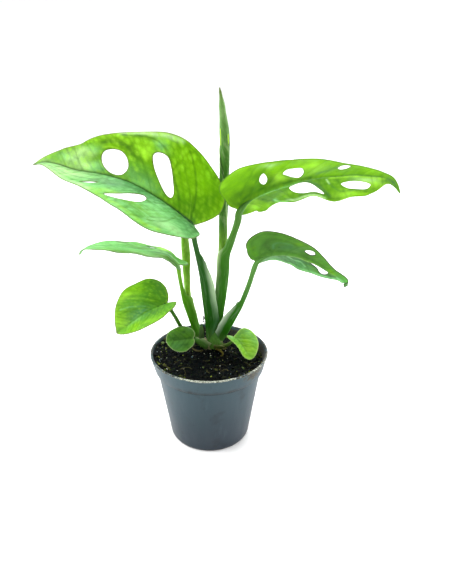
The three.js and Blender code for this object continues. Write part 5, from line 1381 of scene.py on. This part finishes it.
def build_pot():
    """The moulded pot: pad, foot ring, outside, lip and inside, with drain holes through its floor."""
    p = POT
    sides = p["sides"]
    band_z = p["height"] - p["band"]
    floor_top = p["lift"] + p["floor"]
    inner_foot = p["body_foot"] - p["wall"] - 0.6
    slope = (p["body_top"] - p["body_foot"]) / (band_z - p["foot_round"])
    flare = (p["rim_outer"] - p["band_foot"]) / p["band"]
    down_band = (6.5, 5, 3.8, 2.8, 2, 1.4, 0.9, 0.6)
    corners = [
        (p["pad_outer"] + 0.4, p["lift"], 0), (p["ring_inner"] - 0.4, p["lift"], 0.3),
        (p["ring_inner"], 0, 0.3), (p["body_foot"] - 0.9, 0, 0.5), (p["body_foot"], p["foot_round"], 1),
        *[(p["body_top"] - 0.1 - slope * under, band_z - under, 0) for under in (2.6, 1.5, 0.8)],
        (p["body_top"] - 0.2, band_z - 0.4, 0.1), (p["body_top"] - 0.5, band_z, 0.15),
        (p["band_foot"] - 0.1, band_z, 0.3),
        *[(p["rim_outer"] - flare * under, p["height"] - under, 0) for under in down_band],
        (p["rim_outer"], p["height"] - 0.35, 0.2),
        (p["rim_outer"] - 0.35, p["height"], 0.3), (p["rim_inner"] + 0.25, p["height"], 0.3),
        (p["rim_inner"], p["height"] - 0.5, 0.4), (p["band_foot"] - p["wall"], band_z + 1.2, 0.6),
        (p["body_top"] - p["wall"], band_z + 0.6, 0.5), (inner_foot + 0.6, floor_top + 1, 0.6),
        (inner_foot, floor_top, 0),
    ]
    profile = rounded(corners)
    rings = lathe_points(profile, sides)
    points = np.vstack(rings)
    faces = ring_faces(len(rings), sides, capped=False)
    crust = crust_on(points)
    radial = unit(points * (1, 1, 0))
    lipward = np.clip((points[:, 2] - p["height"] + 0.6) / 0.6, 0, 1)
    grow = crust * (0.1 + 0.22 * np.abs(noise_at(points, 1.4, 5)))
    points = points + UP * (grow * lipward)[:, None] + radial * (grow * (1 - lipward) * 0.5)[:, None]

    rim = circle(sides)
    drains = []
    for k in range(p["drains"]):
        a = 2 * math.pi * (k + 0.5) / p["drains"]
        centre = np.array([math.cos(a), math.sin(a)]) * p["drain_ring"]
        drains.append(centre + circle(28) * p["drain_radius"])
    pad = rim[::4] * (p["pad_outer"] + 0.4)
    low_flat, low_faces = triangulated(rim * (p["ring_inner"] - 0.4), [*drains, pad], 1.6)
    high_flat, high_faces = triangulated(rim * inner_foot, drains, 1.8)
    parts = [(points, faces)]
    parts.append((filled(low_flat, p["lift"]), [(a, c, b) for a, b, c in low_faces]))
    parts.append((filled(high_flat, floor_top), high_faces))
    for drain in drains:
        ring = [filled(drain, z) for z in (p["lift"], floor_top)]
        parts.append((np.vstack(ring), [face[::-1] for face in ring_faces(2, len(drain), capped=False)]))
    pad_rings = [
        filled(pad, p["lift"]), filled(pad * p["pad_outer"] / (p["pad_outer"] + 0.4)), filled(pad * 0.05),
    ]
    pad_points = np.vstack([*pad_rings, [[0, 0, 0]]])
    last = 2 * len(pad)
    pad_faces = [face[::-1] for face in ring_faces(3, len(pad), capped=False)]
    pad_faces += [(last + (i + 1) % len(pad), last + i, 3 * len(pad)) for i in range(len(pad))]
    parts.append((pad_points, pad_faces))

    all_points, all_faces = joined(parts)
    crusts = np.concatenate([crust, np.zeros(len(all_points) - len(crust))])
    piece = new_piece("pot_moulded", all_points, all_faces, {
        "crust": crusts, "smear_and_inner_dark": smear_and_inner_dark_on(all_points), "seam": band_shadow_and_soil_on(all_points)})
    weld(piece)
    return dress(piece, pot_material(), "pot_plastic", "pot")


def weld(piece):
    """Joins points that lie on each other."""
    made = bmesh.new()
    made.from_mesh(piece.data)
    bmesh.ops.remove_doubles(made, verts=made.verts, dist=0.02 * MM)
    made.to_mesh(piece.data)
    made.free()


def crust_on(points):
    """Mineral crust on each point of the pot: thin on the left of the lip, thicker in front and right."""
    turn = np.arctan2(points[:, 1], points[:, 0])
    front = bell(turn + 1.65, 0.42) + 0.3 * bell(turn + 0.6, 0.45)
    heavy = 0.24 + 0.76 * np.clip(front, 0, 1)
    uneven = 0.6 + 0.5 * noise_at(points, 0.55, 11) + 0.35 * noise_at(points, 1.9, 12)
    near_lip = smooth_step(points[:, 2], POT["height"] - 0.6, POT["height"] - 0.2)
    outward = np.hypot(points[:, 0], points[:, 1]) > POT["rim_inner"] - 0.3
    return np.clip(heavy * uneven * near_lip * outward * 1.5, 0, 1)


def smear_and_inner_dark_on(points):
    """Brown soil smeared over the lip, most below it at the right front, and inside the wall darker from
    below the lip down to the soil.
    """
    turn = np.arctan2(points[:, 1], points[:, 0])
    below = POT["height"] - points[:, 2]
    smear = 2 * bell(turn + 0.68, 0.2) * smooth_step(below, 7.5, 0.5)
    smear += 0.3 * bell(turn + 0.35, 0.5) * smooth_step(below, 2, 0)
    smear += 0.4 * smooth_step(below, 1, 0.2)
    inner = np.hypot(points[:, 0], points[:, 1]) < pot_inner_radius(points[:, 2]) + 0.4
    # Inside, the wall is made darker from just below the lip down to the soil.
    deep = np.where(inner, 0.9 * smooth_step(below, 0.3, 2.5), 0)
    patchy = np.clip(0.65 + 1.2 * noise_at(points * (1, 1, 0.6), 1.1, 13), 0, 1.3)
    return np.clip(smear * patchy + deep, 0, 1)


# Where soil is caught under the band: the side it faces and its reach, both in radians.
SEAM_DIRT = [(-2.09, 0.035), (-1.14, 0.06)]


def band_shadow_and_soil_on(points):
    """The painted shadow line under the band's overhang, with real soil caught in it here and there."""
    outside = np.hypot(points[:, 0], points[:, 1]) > pot_inner_radius(points[:, 2]) + 0.4
    below = POT["height"] - points[:, 2] - POT["band"]
    # Painted shadow: a dark line just under the band, where it overhangs the body.
    line = 0.8 * smooth_step(np.abs(below - 0.3), 0.75, 0.45)
    turn = np.arctan2(points[:, 1], points[:, 0])
    caught = smooth_step(noise_at(in_line(turn * POT["rim_outer"]), 0.5, 14), 0.36, 0.6)
    for facing, reach in SEAM_DIRT:
        caught = np.maximum(caught, bell(turn - facing, reach))
    caught = caught * smooth_step(np.abs(below - 0.3), 1.3, 0.5)
    return np.clip(line + 0.6 * caught, 0, 0.9) * outside


def pot_material():
    """Matt slate-grey plastic with moulding grain, faint scuffs, soil stains and a pale crust on the lip,
    with painted shade toward the foot and a painted shadow line under the band.
    """
    m = Shader("pot_plastic_surface")
    place = m.place()
    height = m.add("SeparateXYZ", {"Vector": place}).outputs["Z"]
    # Painted shade: the plastic is darker toward the foot and lighter toward the rim, as the light falls on
    # it.
    colour = m.blend(m.remap(height, 0.0, 0.047), rgba((26, 40, 50)), rgba((44, 68, 76)))
    cloud = m.noise(place, 30, 3.0)
    colour = m.blend(m.remap(cloud, 0.35, 0.7, 0.0, 0.3), colour, rgba((42, 50, 62)))
    scuff = m.noise(m.stretched(place, (260, 260, 45)), 1.0, 4.0, 0.7)
    colour = m.blend(m.remap(scuff, 0.58, 0.8, 0.0, 0.1), colour, rgba((104, 122, 128)))
    smudge = m.noise(m.shifted(place, 60, 0.004), 130, 4.0, 0.6)
    colour = m.blend(m.remap(smudge, 0.55, 0.72, 0.0, 0.5), colour, rgba((22, 32, 38)))
    specks = m.remap(m.cells(place, 700, "F1"), 0.1, 0.26, 1.0, 0.0)
    splash = m.maths("MULTIPLY", specks, m.remap(m.noise(place, 120, 2.0), 0.52, 0.62))
    splash = m.maths("MULTIPLY", splash, m.remap(height, 0.026, 0.044, 0.1, 0.6))
    colour = m.blend(splash, colour, rgba((40, 44, 40)))
    mud = m.noise(place, 900, 5.0, 0.7)
    # This mask holds the soil smeared over the lip and the darkening of the inner wall down to the soil.
    smeared_and_darkened = m.remap(m.maths("ADD", m.attribute("smear_and_inner_dark"), m.maths("MULTIPLY", mud, 0.7)), 0.52, 0.8)
    mud_colour = m.blend(m.remap(mud, 0.4, 0.62), rgba((5, 8, 8)), rgba((62, 56, 26)))
    colour = m.blend(m.maths("MULTIPLY", smeared_and_darkened, 0.92), colour, mud_colour)
    rough_crust = m.noise(place, 1700, 4.0, 0.7)
    cover = m.remap(m.maths("ADD", m.attribute("crust"), m.maths("MULTIPLY", rough_crust, 0.9)), 0.72, 1.05)
    crust_colour = m.blend(m.remap(rough_crust, 0.42, 0.62), rgba((92, 96, 82)), rgba((204, 208, 194)))
    colour = m.blend(cover, colour, crust_colour)
    # The seam attribute is a painted shadow line under the band, with real soil caught in it.
    colour = m.blend(m.attribute("seam"), colour, rgba((10, 15, 19)))
    roughness = m.blend(cover, m.remap(scuff, 0.3, 0.8, 0.46, 0.62), (0.9, 0.9, 0.9, 1.0))
    fine = m.noise(place, 2600, 3.0, 0.6)
    gritty = m.maths("MULTIPLY", m.maths("MULTIPLY", cover, rough_crust), 1.6)
    raised = m.maths("ADD", gritty, m.maths("MULTIPLY", smeared_and_darkened, mud))
    bumps = m.maths("ADD", m.maths("MULTIPLY", fine, 0.25), raised)
    normal = m.bump(bumps, 0.5, 0.0002)
    return m.opaque({
        "Base Color": colour, "Roughness": roughness, "Normal": normal, "Specular IOR Level": 0.3,
        "Sheen Weight": 0.12, "Sheen Roughness": 0.35})


# Soil
def soil_height(x, y):
    """The soil's level at a place, without its crumbs: a low mound round the plant, a tilt and slow waves."""
    near = np.exp(-((x - 0.5) ** 2 + (y - 9) ** 2) / (2 * SOIL["mound_width"] ** 2))
    rough = 0.22 * np.sin(0.55 * x + 1.1) * np.sin(0.5 * y + 0.4) + 0.14 * np.sin(1.15 * x - 0.8 * y)
    return SOIL["level"] + SOIL["mound"] * near - SOIL["tilt"] * (x + y * 0.8) + rough


def pot_inner_radius(z):
    """How wide the pot's inside is at a height, in its body and in its band."""
    p, wall = POT, POT["wall"]
    band_z = p["height"] - p["band"]
    body_from = p["lift"] + p["floor"] + 1
    low = np.interp(z, [body_from, band_z + 0.6], [p["body_foot"] - wall, p["body_top"] - wall])
    high = np.interp(z, [band_z + 1.2, p["height"] - 0.5], [p["band_foot"] - wall, p["rim_inner"]])
    return np.where(z < band_z + 0.9, low, high)


def crumbs_on(x, y):
    """The soil's own unevenness: clods, crumbs and grains, banked up against the wall at the left."""
    points = np.column_stack([x, y, np.zeros(len(x))])
    facing = np.arctan2(y, -x)
    bank = BANK["height"] * bell(facing - BANK["facing"], BANK["spread"])
    bank = bank * smooth_step(np.hypot(x, y), POT["rim_inner"] - BANK["width"], POT["rim_inner"] - 1)
    clods = 0.55 * noise_at(points, 0.28, 21) + 0.35 * noise_at(points, 0.7, 22)
    crumbs = np.array([0.5 - noise.voronoi(Vector(p) * 0.75)[0][0] for p in points])
    grains = np.array([0.4 - noise.voronoi(Vector(p) * 1.7 + Vector((9, 4, 2)))[0][0] for p in points])
    return clods + 0.85 * crumbs + 0.35 * grains + bank


def build_soil():
    """Potting mix: one filled body with a crumbly top that rises a little against the wall in places."""
    sides, rings = SOIL["sides"], SOIL["rings"]
    floor = POT["lift"] + POT["floor"] + 0.3
    band_z = POT["height"] - POT["band"]
    levels = [(floor, -0.9), (floor + 1.2, -0.35), (20, -0.3), (band_z, -0.4), (41.6, -0.3)]
    stack = [filled((float(pot_inner_radius(z)) + inset) * circle(sides), z) for z, inset in levels]
    for k in range(rings):
        share = 1 - (k / rings) ** 1.05
        x, y = ((POT["rim_inner"] - 0.7) * share * circle(sides)).T
        z = np.minimum(soil_height(x, y) + crumbs_on(x, y), POT["height"] - 0.35 - 0.9 * (k == 0))
        reach = (pot_inner_radius(z) - 0.1) * share
        stack.append(filled(reach[:, None] * circle(sides), z))
    points = ring_points(stack)
    points[-1, 2] = soil_height(0, 0)
    faces = ring_faces(len(stack), sides)
    piece = new_piece("soil_mix", points, faces)
    return dress(piece, soil_material(), "potting_soil", "soil")


def soil_material():
    """Moist peaty mix: near black, with bluish wet crumbs, olive film and fine pale grit."""
    m = Shader("soil_surface")
    place = m.place()
    crumb = m.noise(place, 700, 5.0, 0.7)
    colour = m.blend(m.remap(crumb, 0.35, 0.7), rgba((2, 3, 4)), rgba((13, 16, 16)))
    colour = m.blend(m.remap(m.noise(place, 120, 3.0), 0.48, 0.7, 0.0, 0.7), colour, rgba((6, 15, 19)))
    film = m.remap(m.noise(place, 140, 4.0, 0.6), 0.6, 0.7, 0.0, 0.7)
    colour = m.blend(m.maths("MULTIPLY", film, m.remap(crumb, 0.42, 0.6)), colour, rgba((60, 66, 18)))
    grit = m.remap(m.cells(place, 620, "F1"), 0.1, 0.2, 1.0, 0.0)
    where = m.remap(m.noise(place, 260, 3.0, 0.7), 0.6, 0.66)
    colour = m.blend(m.maths("MULTIPLY", grit, where), colour, rgba((150, 156, 136)))
    normal = m.bump(crumb, 0.9, 0.0006)
    roughness = m.remap(crumb, 0.3, 0.7, 0.5, 0.9)
    return m.opaque({
        "Base Color": colour, "Roughness": roughness, "Normal": normal, "Specular IOR Level": 0.06,
        "Specular Tint": (0.6, 0.9, 1.0, 1.0)})


# Loose grains on the soil. Each kind: how many, their range of sizes, flatness, roughness, the share of them
# that lies near the rim, and their colours. OUT: how far a grain stands out of the soil, by its size.
GRAINS = {
    "soil_crumbs": (1700, (0.3, 1.0), 0.75, 0.8, 0, [
        (6, 7, 7), (4, 5, 5), (14, 14, 11), (4, 9, 11), (20, 22, 16)]),
    "soil_bark": (90, (0.5, 1.4), 0.3, 0.75, 0, [(28, 26, 14), (16, 15, 10), (40, 38, 20), (10, 13, 12)]),
    "soil_clods": (46, (0.7, 1.45), 0.6, 0.9, 0.4, [
        (36, 42, 22), (24, 30, 18), (66, 68, 34), (20, 26, 20), (48, 52, 30)]),
    "soil_grit": (240, (0.12, 0.42), 0.8, 0.6, 0.35, [
        (232, 232, 222), (214, 216, 196), (160, 178, 176), (120, 148, 158), (176, 160, 70)]),
    "soil_moss": (230, (0.25, 1.0), 0.6, 0.9, 0.5, [
        (74, 86, 24), (120, 128, 54), (44, 58, 20), (90, 108, 62), (36, 46, 20)]),
}
CORNERS = 12
OUT = 0.15
GOLDEN = (1 + math.sqrt(5)) / 2


def pebble_shape():
    """The twelve corners and twenty faces that each crumb is bent from."""
    corners = np.array([
        (-1, GOLDEN, 0), (1, GOLDEN, 0), (-1, -GOLDEN, 0), (1, -GOLDEN, 0), (0, -1, GOLDEN), (0, 1, GOLDEN),
        (0, -1, -GOLDEN), (0, 1, -GOLDEN), (GOLDEN, 0, -1), (GOLDEN, 0, 1), (-GOLDEN, 0, -1), (-GOLDEN, 0, 1),
    ])
    faces = [
        (0, 11, 5), (0, 5, 1), (0, 1, 7), (0, 7, 10), (0, 10, 11), (1, 5, 9), (5, 11, 4), (11, 10, 2),
        (10, 7, 6), (7, 1, 8), (3, 9, 4), (3, 4, 2), (3, 2, 6), (3, 6, 8), (3, 8, 9), (4, 9, 5),
        (2, 4, 11), (6, 2, 10), (8, 6, 7), (9, 8, 1),
    ]
    return unit(corners), faces


def scatter(name, count, sizes, flatness, rough, near_rim, colours):
    """Loose grains on the soil: each a bent pebble with its own size, turn, sinking and colour."""
    corners, corner_faces = pebble_shape()
    parts, tints = [], []
    for _ in range(count):
        far = math.sqrt(random.uniform(0, 1)) if random.uniform() > near_rim else random.uniform(0.86, 1)
        turn = random.uniform(0, 2 * math.pi)
        r = far * (POT["rim_inner"] - 1.3)
        x, y = r * math.cos(turn), r * math.sin(turn)
        size = random.uniform(*sizes) * (0.6 + 0.4 * random.uniform())
        shape = corners * (1 + 0.28 * random.normal(size=(CORNERS, 1)).clip(-1.4, 1.4))
        shape = shape * (size * np.array([1, random.uniform(0.55, 1), flatness * random.uniform(0.7, 1.3)]))
        spin = random.uniform(0, 2 * math.pi)
        tip = random.normal() * 0.45
        turned = Matrix.Rotation(spin, 3, "Z") @ Matrix.Rotation(tip, 3, "X")
        z = soil_height(x, y) + crumbs_on(np.array([x]), np.array([y]))[0]
        parts.append((shape @ np.array(turned).T + (x, y, z + OUT * size), corner_faces))
        tint = np.array(rgb(*colours[random.integers(len(colours))])) * random.uniform(0.6, 1.3)
        tints.append(np.tile([*tint, 1], (CORNERS, 1)))
    piece = new_piece(name, *joined(parts), {"tint": np.vstack(tints)}, smooth=False)
    return dress(piece, grain_material(name, rough), "potting_soil")


def grain_material(name, rough):
    """Each grain's own colour, broken up by fine noise."""
    m = Shader(name + "_surface")
    place = m.place()
    fine = m.noise(place, 2400, 4.0, 0.7)
    grey = m.blend(fine, (0.05, 0.05, 0.05, 1.0), (0.9, 0.9, 0.9, 1.0))
    colour = m.blend(0.6, m.attribute("tint", "Color"), grey, "OVERLAY")
    normal = m.bump(fine, 0.6, 0.0002)
    return m.opaque({"Base Color": colour, "Roughness": rough, "Normal": normal, "Specular IOR Level": 0.1})


def strand(path, radii, sides=7, step=0.35):
    """Rings of a round strand along a path, as wide as radii says by share of its length."""
    curve = Curve(path, 80)
    rings = []
    for s in np.linspace(0, curve.length, max(int(curve.length / step), 4)):
        first, second = cross_frame(curve.direction(s), np.array([0.3, 0.2, 0.93]))
        ring = float(eased(radii, s / curve.length)) * circle(sides)
        rings.append(curve.place(s) + ring[:, :1] * first + ring[:, 1:] * second)
    return rings


def build_fibres(count):
    """Fine root hairs and peat fibres that lie over the soil."""
    parts, tints = [], []
    palette = [(22, 20, 12), (40, 36, 20), (12, 13, 11), (92, 90, 56), (34, 42, 20)]
    for _ in range(count):
        far = math.sqrt(random.uniform(0, 0.92)) * (POT["rim_inner"] - 2.5)
        turn, heading = random.uniform(0, 2 * math.pi, 2)
        x, y = far * math.cos(turn), far * math.sin(turn)
        length = random.uniform(1.8, 6.5)
        path = []
        for k in range(5):
            arch = 0.5 * math.sin(k * math.pi / 4) * random.uniform()
            path.append((x, y, soil_height(x, y) + 0.35 + arch))
            heading += random.normal() * 0.45
            x = x + math.cos(heading) * length / 4
            y = y + math.sin(heading) * length / 4
            reach = math.hypot(x, y) / (POT["rim_inner"] - 1.6)
            x, y = (x / reach, y / reach) if reach > 1 else (x, y)
        thick = random.uniform(0.05, 0.13)
        rings = strand(path, [(0, thick), (0.7, thick), (1, thick * 0.4)], sides=5)
        parts.append((ring_points(rings), ring_faces(len(rings), 5)))
        tints.append(np.tile(rgba(palette[random.integers(len(palette))]), (len(parts[-1][0]), 1)))
    piece = new_piece("soil_fibres", *joined(parts), {"tint": np.vstack(tints)})
    return dress(piece, grain_material("soil_fibres", 0.85), "potting_soil")


# Dark fibres that cling to the left edge of a sheath, each a path and its thickness.
CAUGHT = [
    ([(-2.3, 9.2, 58.6), (-3.2, 9.3, 60.4), (-2.7, 9.2, 62), (-3.5, 9.4, 63.6)], 0.22),
    ([(-2.4, 9.2, 61), (-3.3, 9.5, 61.8), (-3.1, 9.4, 64.6)], 0.16),
    ([(-2.3, 9.2, 60), (-3.9, 9.4, 59.4), (-3.6, 9.3, 58.4)], 0.14),
]


def build_caught():
    """Peat fibres caught on the sheath above the soil."""
    parts = []
    for path, thick in CAUGHT:
        rings = strand(path, [(0, thick), (0.6, thick * 1.3), (1, thick * 0.4)], sides=6)
        parts.append((ring_points(rings), ring_faces(len(rings), 6)))
    points, faces = joined(parts)
    piece = new_piece("sheath_fibres", points, faces, {"tint": np.tile(rgba((16, 15, 12)), (len(points), 1))})
    return dress(piece, grain_material("sheath_fibres", 0.85), "potting_soil")


# Crowns. SCAR: the rings that old leaves left, their distance apart, where the first is, and their size.
SCAR = {"apart": 2.3, "first": 1.1, "width": 0.25, "depth": 0.06}


def build_crown(name, seed):
    """The short stem of a growing point, with ring scars, in its hole in the soil."""
    crown = CROWNS[name]
    r, top, foot = crown["radius"], crown["top"], crown["foot"]
    outline = [(foot, 0.5), (foot + 3, 0.95), (41.5, 1.1), (45, 1), (top - 0.5, 0.94), (top, 0.7)]
    rings, shares = [], []
    around = circle(32)
    for z in np.arange(foot, top, 0.4):
        scar = 1 - SCAR["depth"] * bell((z - foot) % SCAR["apart"] - SCAR["first"], SCAR["width"])
        lumps = 1 + 0.05 * noise_at(filled(around, z * 0.5), 1.5, seed)
        reach = r * float(eased(outline, z)) * scar * lumps
        rings.append(filled((crown["x"], crown["y"]) + reach[:, None] * around, z))
        shares.append(np.full(len(around), (z - foot) / (top - foot)))
    faces = ring_faces(len(rings), len(around))
    piece = new_piece(name + "_stem", ring_points(rings), faces, {"share": ring_values(shares)})
    return dress(piece, crown_material(name), "crown", name)


def crown_material(name):
    """Soft green stem with upright streaks, browner at its top."""
    m = Shader(name + "_surface")
    place = m.place()
    streak = m.noise(m.stretched(place, (900, 900, 200)), 1.0, 4.0, 0.65)
    colour = m.blend(m.remap(streak, 0.3, 0.7), rgba((78, 116, 42)), rgba((112, 150, 70)))
    colour = m.blend(m.remap(m.attribute("share"), 0.7, 0.9, 1.0, 0.0), colour, rgba((96, 80, 48)))
    normal = m.bump(streak, 0.5, 0.0003)
    return m.opaque({"Base Color": colour, "Roughness": 0.55, "Normal": normal})


# Thin scales round the growing points: the middle of the ring that each is part of, its radius, the side it
# faces, half its width in degrees, its foot and top, how far the top leans out, and its two colours.
SCALES = {
    "collar_front": (2.9, 11.9, 5.2, 262, 80, 44.4, 54, -1.9, (104, 158, 52), (74, 132, 44)),
    "collar_right": (2.6, 12.1, 4.5, 318, 30, 44.4, 48.6, 0.4, (92, 122, 56), (164, 182, 118)),
    "papery_left": (0.6, 11.2, 2.6, 216, 42, 45, 50.4, 0.9, (150, 146, 106), (196, 186, 150)),
    "bract_left": (-5.2, 13.6, 2.5, 292, 48, 45, 57.5, 0.2, (70, 112, 46), (120, 152, 96)),
    "bract_foot": (-0.4, 7.6, 2.3, 246, 64, 44.6, 48.8, 0.7, (112, 122, 66), (178, 180, 132)),
    "bract_right": (6.8, 8.6, 2.2, 262, 70, 44.6, 47.6, 0.9, (116, 120, 62), (184, 182, 136)),
}
SCALE = {"columns": 25, "rows": 14, "half_thick": 0.08, "crinkle": 0.06}


def build_scale(name, seed):
    """A thin pointed scale that clasps the stem, with a ragged papery top edge."""
    x, y, radius, facing, half, foot, top, lean, *colours = SCALES[name]
    across = np.linspace(-1, 1, SCALE["columns"])
    up = np.linspace(0, 1, SCALE["rows"])
    ragged = 1 + 0.1 * noise_at(in_line(across * 4), 1, seed)
    layers = []
    for side in (1, -1):
        for u in up[::side]:
            rise = u * (1 - np.abs(across) ** 2.2 * 0.75) * ragged
            z = foot + (top - foot) * rise
            crinkle = SCALE["crinkle"] * np.sin(across * 9 + seed) * u
            reach = radius + lean * u**2 + crinkle + SCALE["half_thick"] * side
            turn = np.radians(facing + half * across * (1 - 0.25 * u))
            layers.append(np.column_stack([x + reach * np.cos(turn), y + reach * np.sin(turn), z]))
    count = len(across)
    faces = ring_faces_open(len(layers), count)
    height = np.concatenate([up, up[::-1]]).repeat(count)[:, None]
    low_tint, high_tint = (np.array(rgba(c)) for c in colours)
    tint = low_tint * (1 - height) + high_tint * height
    piece = new_piece(name + "_scale", np.vstack(layers), faces, {"tint": tint})
    return dress(piece, scale_material(name), "crown")


def ring_faces_open(rows, count):
    """Quads that join rows of points into a closed flattened tube, with both of its ends sewn up."""
    faces = []
    for r in range(rows):
        s = (r + 1) % rows
        for i in range(count - 1):
            faces.append((r * count + i, r * count + i + 1, s * count + i + 1, s * count + i))
    for r in range(rows // 2 - 1):
        a, b = r, rows - 1 - r
        for i, flip in ((0, False), (count - 1, True)):
            quad = (a * count + i, (a + 1) * count + i, (b - 1) * count + i, b * count + i)
            faces.append(quad[::-1] if flip else quad)
    return faces


def scale_material(name):
    """Papery skin with fine upright lines, lit through."""
    m = Shader(name + "_surface")
    lines = m.noise(m.stretched(m.place(), (2600, 2600, 260)), 1.0, 4.0, 0.6)
    tint = m.attribute("tint", "Color")
    colour = m.blend(m.remap(lines, 0.5, 0.75, 0.0, 0.22), tint, rgba((206, 206, 170)))
    colour = m.blend(m.remap(lines, 0.45, 0.25, 0.0, 0.35), colour, rgba((52, 62, 26)))
    normal = m.bump(lines, 0.4, 0.0003)
    roughness = m.remap(lines, 0.3, 0.7, 0.45, 0.65)
    return m.leafy(colour, (1.0, 1.0, 0.6, 1.0), roughness, normal, 0.3, 0.2)


# Surface roots: the path of each along the soil, and its colour.
ROOTS = {
    "root_front": (
        [(3.4, 4.9, 46), (5.3, 3.2, 46.2), (6.8, 1, 46.1), (7, -0.9, 45.8), (5.9, -1.6, 45.7)], (84, 78, 28)),
    "root_left": ([(-3.4, 3.3, 46.2), (-4.8, 2.4, 46.1), (-6.8, 3.2, 46), (-9, 5.6, 45.9)], (64, 60, 30)),
}


def build_root(name, seed):
    """A short brown root that runs over the soil, knobbly and tapering."""
    path, tint = ROOTS[name]
    rings = strand(path, [(0, 0.5), (0.6, 0.52), (1, 0.28)], sides=12, step=0.25)
    lumpy = []
    for ring in rings:
        centre = ring.mean(0)
        lumps = 1 + 0.22 * noise_at(ring, 1.3, seed)[:, None]
        lumpy.append(centre + (ring - centre) * lumps)
    points = ring_points(lumpy)
    tints = np.tile(rgba(tint), (len(points), 1))
    piece = new_piece(name + "_strand", points, ring_faces(len(rings), 12), {"tint": tints})
    return dress(piece, grain_material(name, 0.7), "surface_root", name)


# Light, floor and camera
def build_floor():
    """A wide pale floor that curves up far away all round, like a studio cove. It isn't part of the plant."""
    flat, bend, sides = 1400.0, 1800.0, 64
    profile = [(flat * k / 5, 0.0) for k in range(1, 6)]
    for angle in np.radians(np.linspace(6, 72, 12)):
        profile.append((flat + bend * math.sin(angle), bend * (1 - math.cos(angle))))
    rings = lathe_points(profile, sides)
    middle = len(rings) * sides
    faces = [face[::-1] for face in ring_faces(len(rings), sides, capped=False)]
    faces += [(i, (i + 1) % sides, middle) for i in range(sides)]
    floor = new_piece("floor", np.vstack([*rings, [[0, 0, 0]]]), faces)
    m = Shader("floor_surface")
    soft = m.noise(m.place(), 6, 3.0)
    colour = m.blend(soft, (0.955, 0.955, 0.955, 1.0), (0.97, 0.97, 0.97, 1.0))
    floor.data.materials.append(m.opaque({"Base Color": colour, "Roughness": 0.9, "Specular IOR Level": 0.1}))


def aimed(name, kind, place, target, power, **settings):
    """A lamp at a place in millimetres, turned to its target."""
    data = bpy.data.lights.new(name, kind)
    data.energy = power
    for key, value in settings.items():
        setattr(data, key, value)
    light = bpy.data.objects.new(name, data)
    bpy.context.scene.collection.objects.link(light)
    light.location = Vector(place) * MM
    light.rotation_euler = (Vector(target) - Vector(place)).to_track_quat("-Z", "Y").to_euler()


def build_light():
    """White surroundings, a wide soft sun from above, and large soft panels at the sides and behind."""
    world = bpy.data.worlds.new("studio")
    world.use_nodes = True
    background = world.node_tree.nodes["Background"]
    background.inputs["Color"].default_value = (1.0, 1.0, 1.0, 1.0)
    background.inputs["Strength"].default_value = 0.55
    bpy.context.scene.world = world
    middle = (0, 0, 100)
    aimed("light_above", "SUN", (-420, -60, 1000), middle, 1.7, angle=math.radians(60))
    aimed("light_behind", "AREA", (120, 460, 560), middle, 5, shape="SQUARE", size=0.5)
    aimed("light_left", "AREA", (-520, 40, 300), middle, 4, shape="SQUARE", size=0.42)
    aimed("light_right", "AREA", (560, 80, 240), middle, 3, shape="SQUARE", size=0.42)


def build_camera():
    """A camera that looks down on the plant from in front, a little to the right of the pot."""
    data = bpy.data.cameras.new("camera")
    data.sensor_width = CAMERA["sensor"]
    data.lens = CAMERA["focal"] / CAMERA["picture_height"] * CAMERA["sensor"]
    data.clip_start = 0.01
    camera = bpy.data.objects.new("camera", data)
    camera.location = Vector(CAMERA["place"]) * MM
    camera.rotation_euler = (math.radians(90 - CAMERA["down"]), 0, 0)
    bpy.context.scene.collection.objects.link(camera)
    bpy.context.scene.camera = camera


build_camera()
build_light()
build_floor()
bpy.context.scene.view_settings.view_transform = "Standard"
build_pot()
build_soil()
for grain_name, grain in GRAINS.items():
    scatter(grain_name, *grain)
build_fibres(120)
build_caught()
for build, table, seed in (
    (build_crown, CROWNS, 31), (build_root, ROOTS, 41), (build_scale, SCALES, 81), (build_roll, ROLLED, 51),
    (build_stalk, STALKS, 61), (build_leaf, LEAVES, 71),
):
    for number, name in enumerate(table):
        build(name, seed + number)
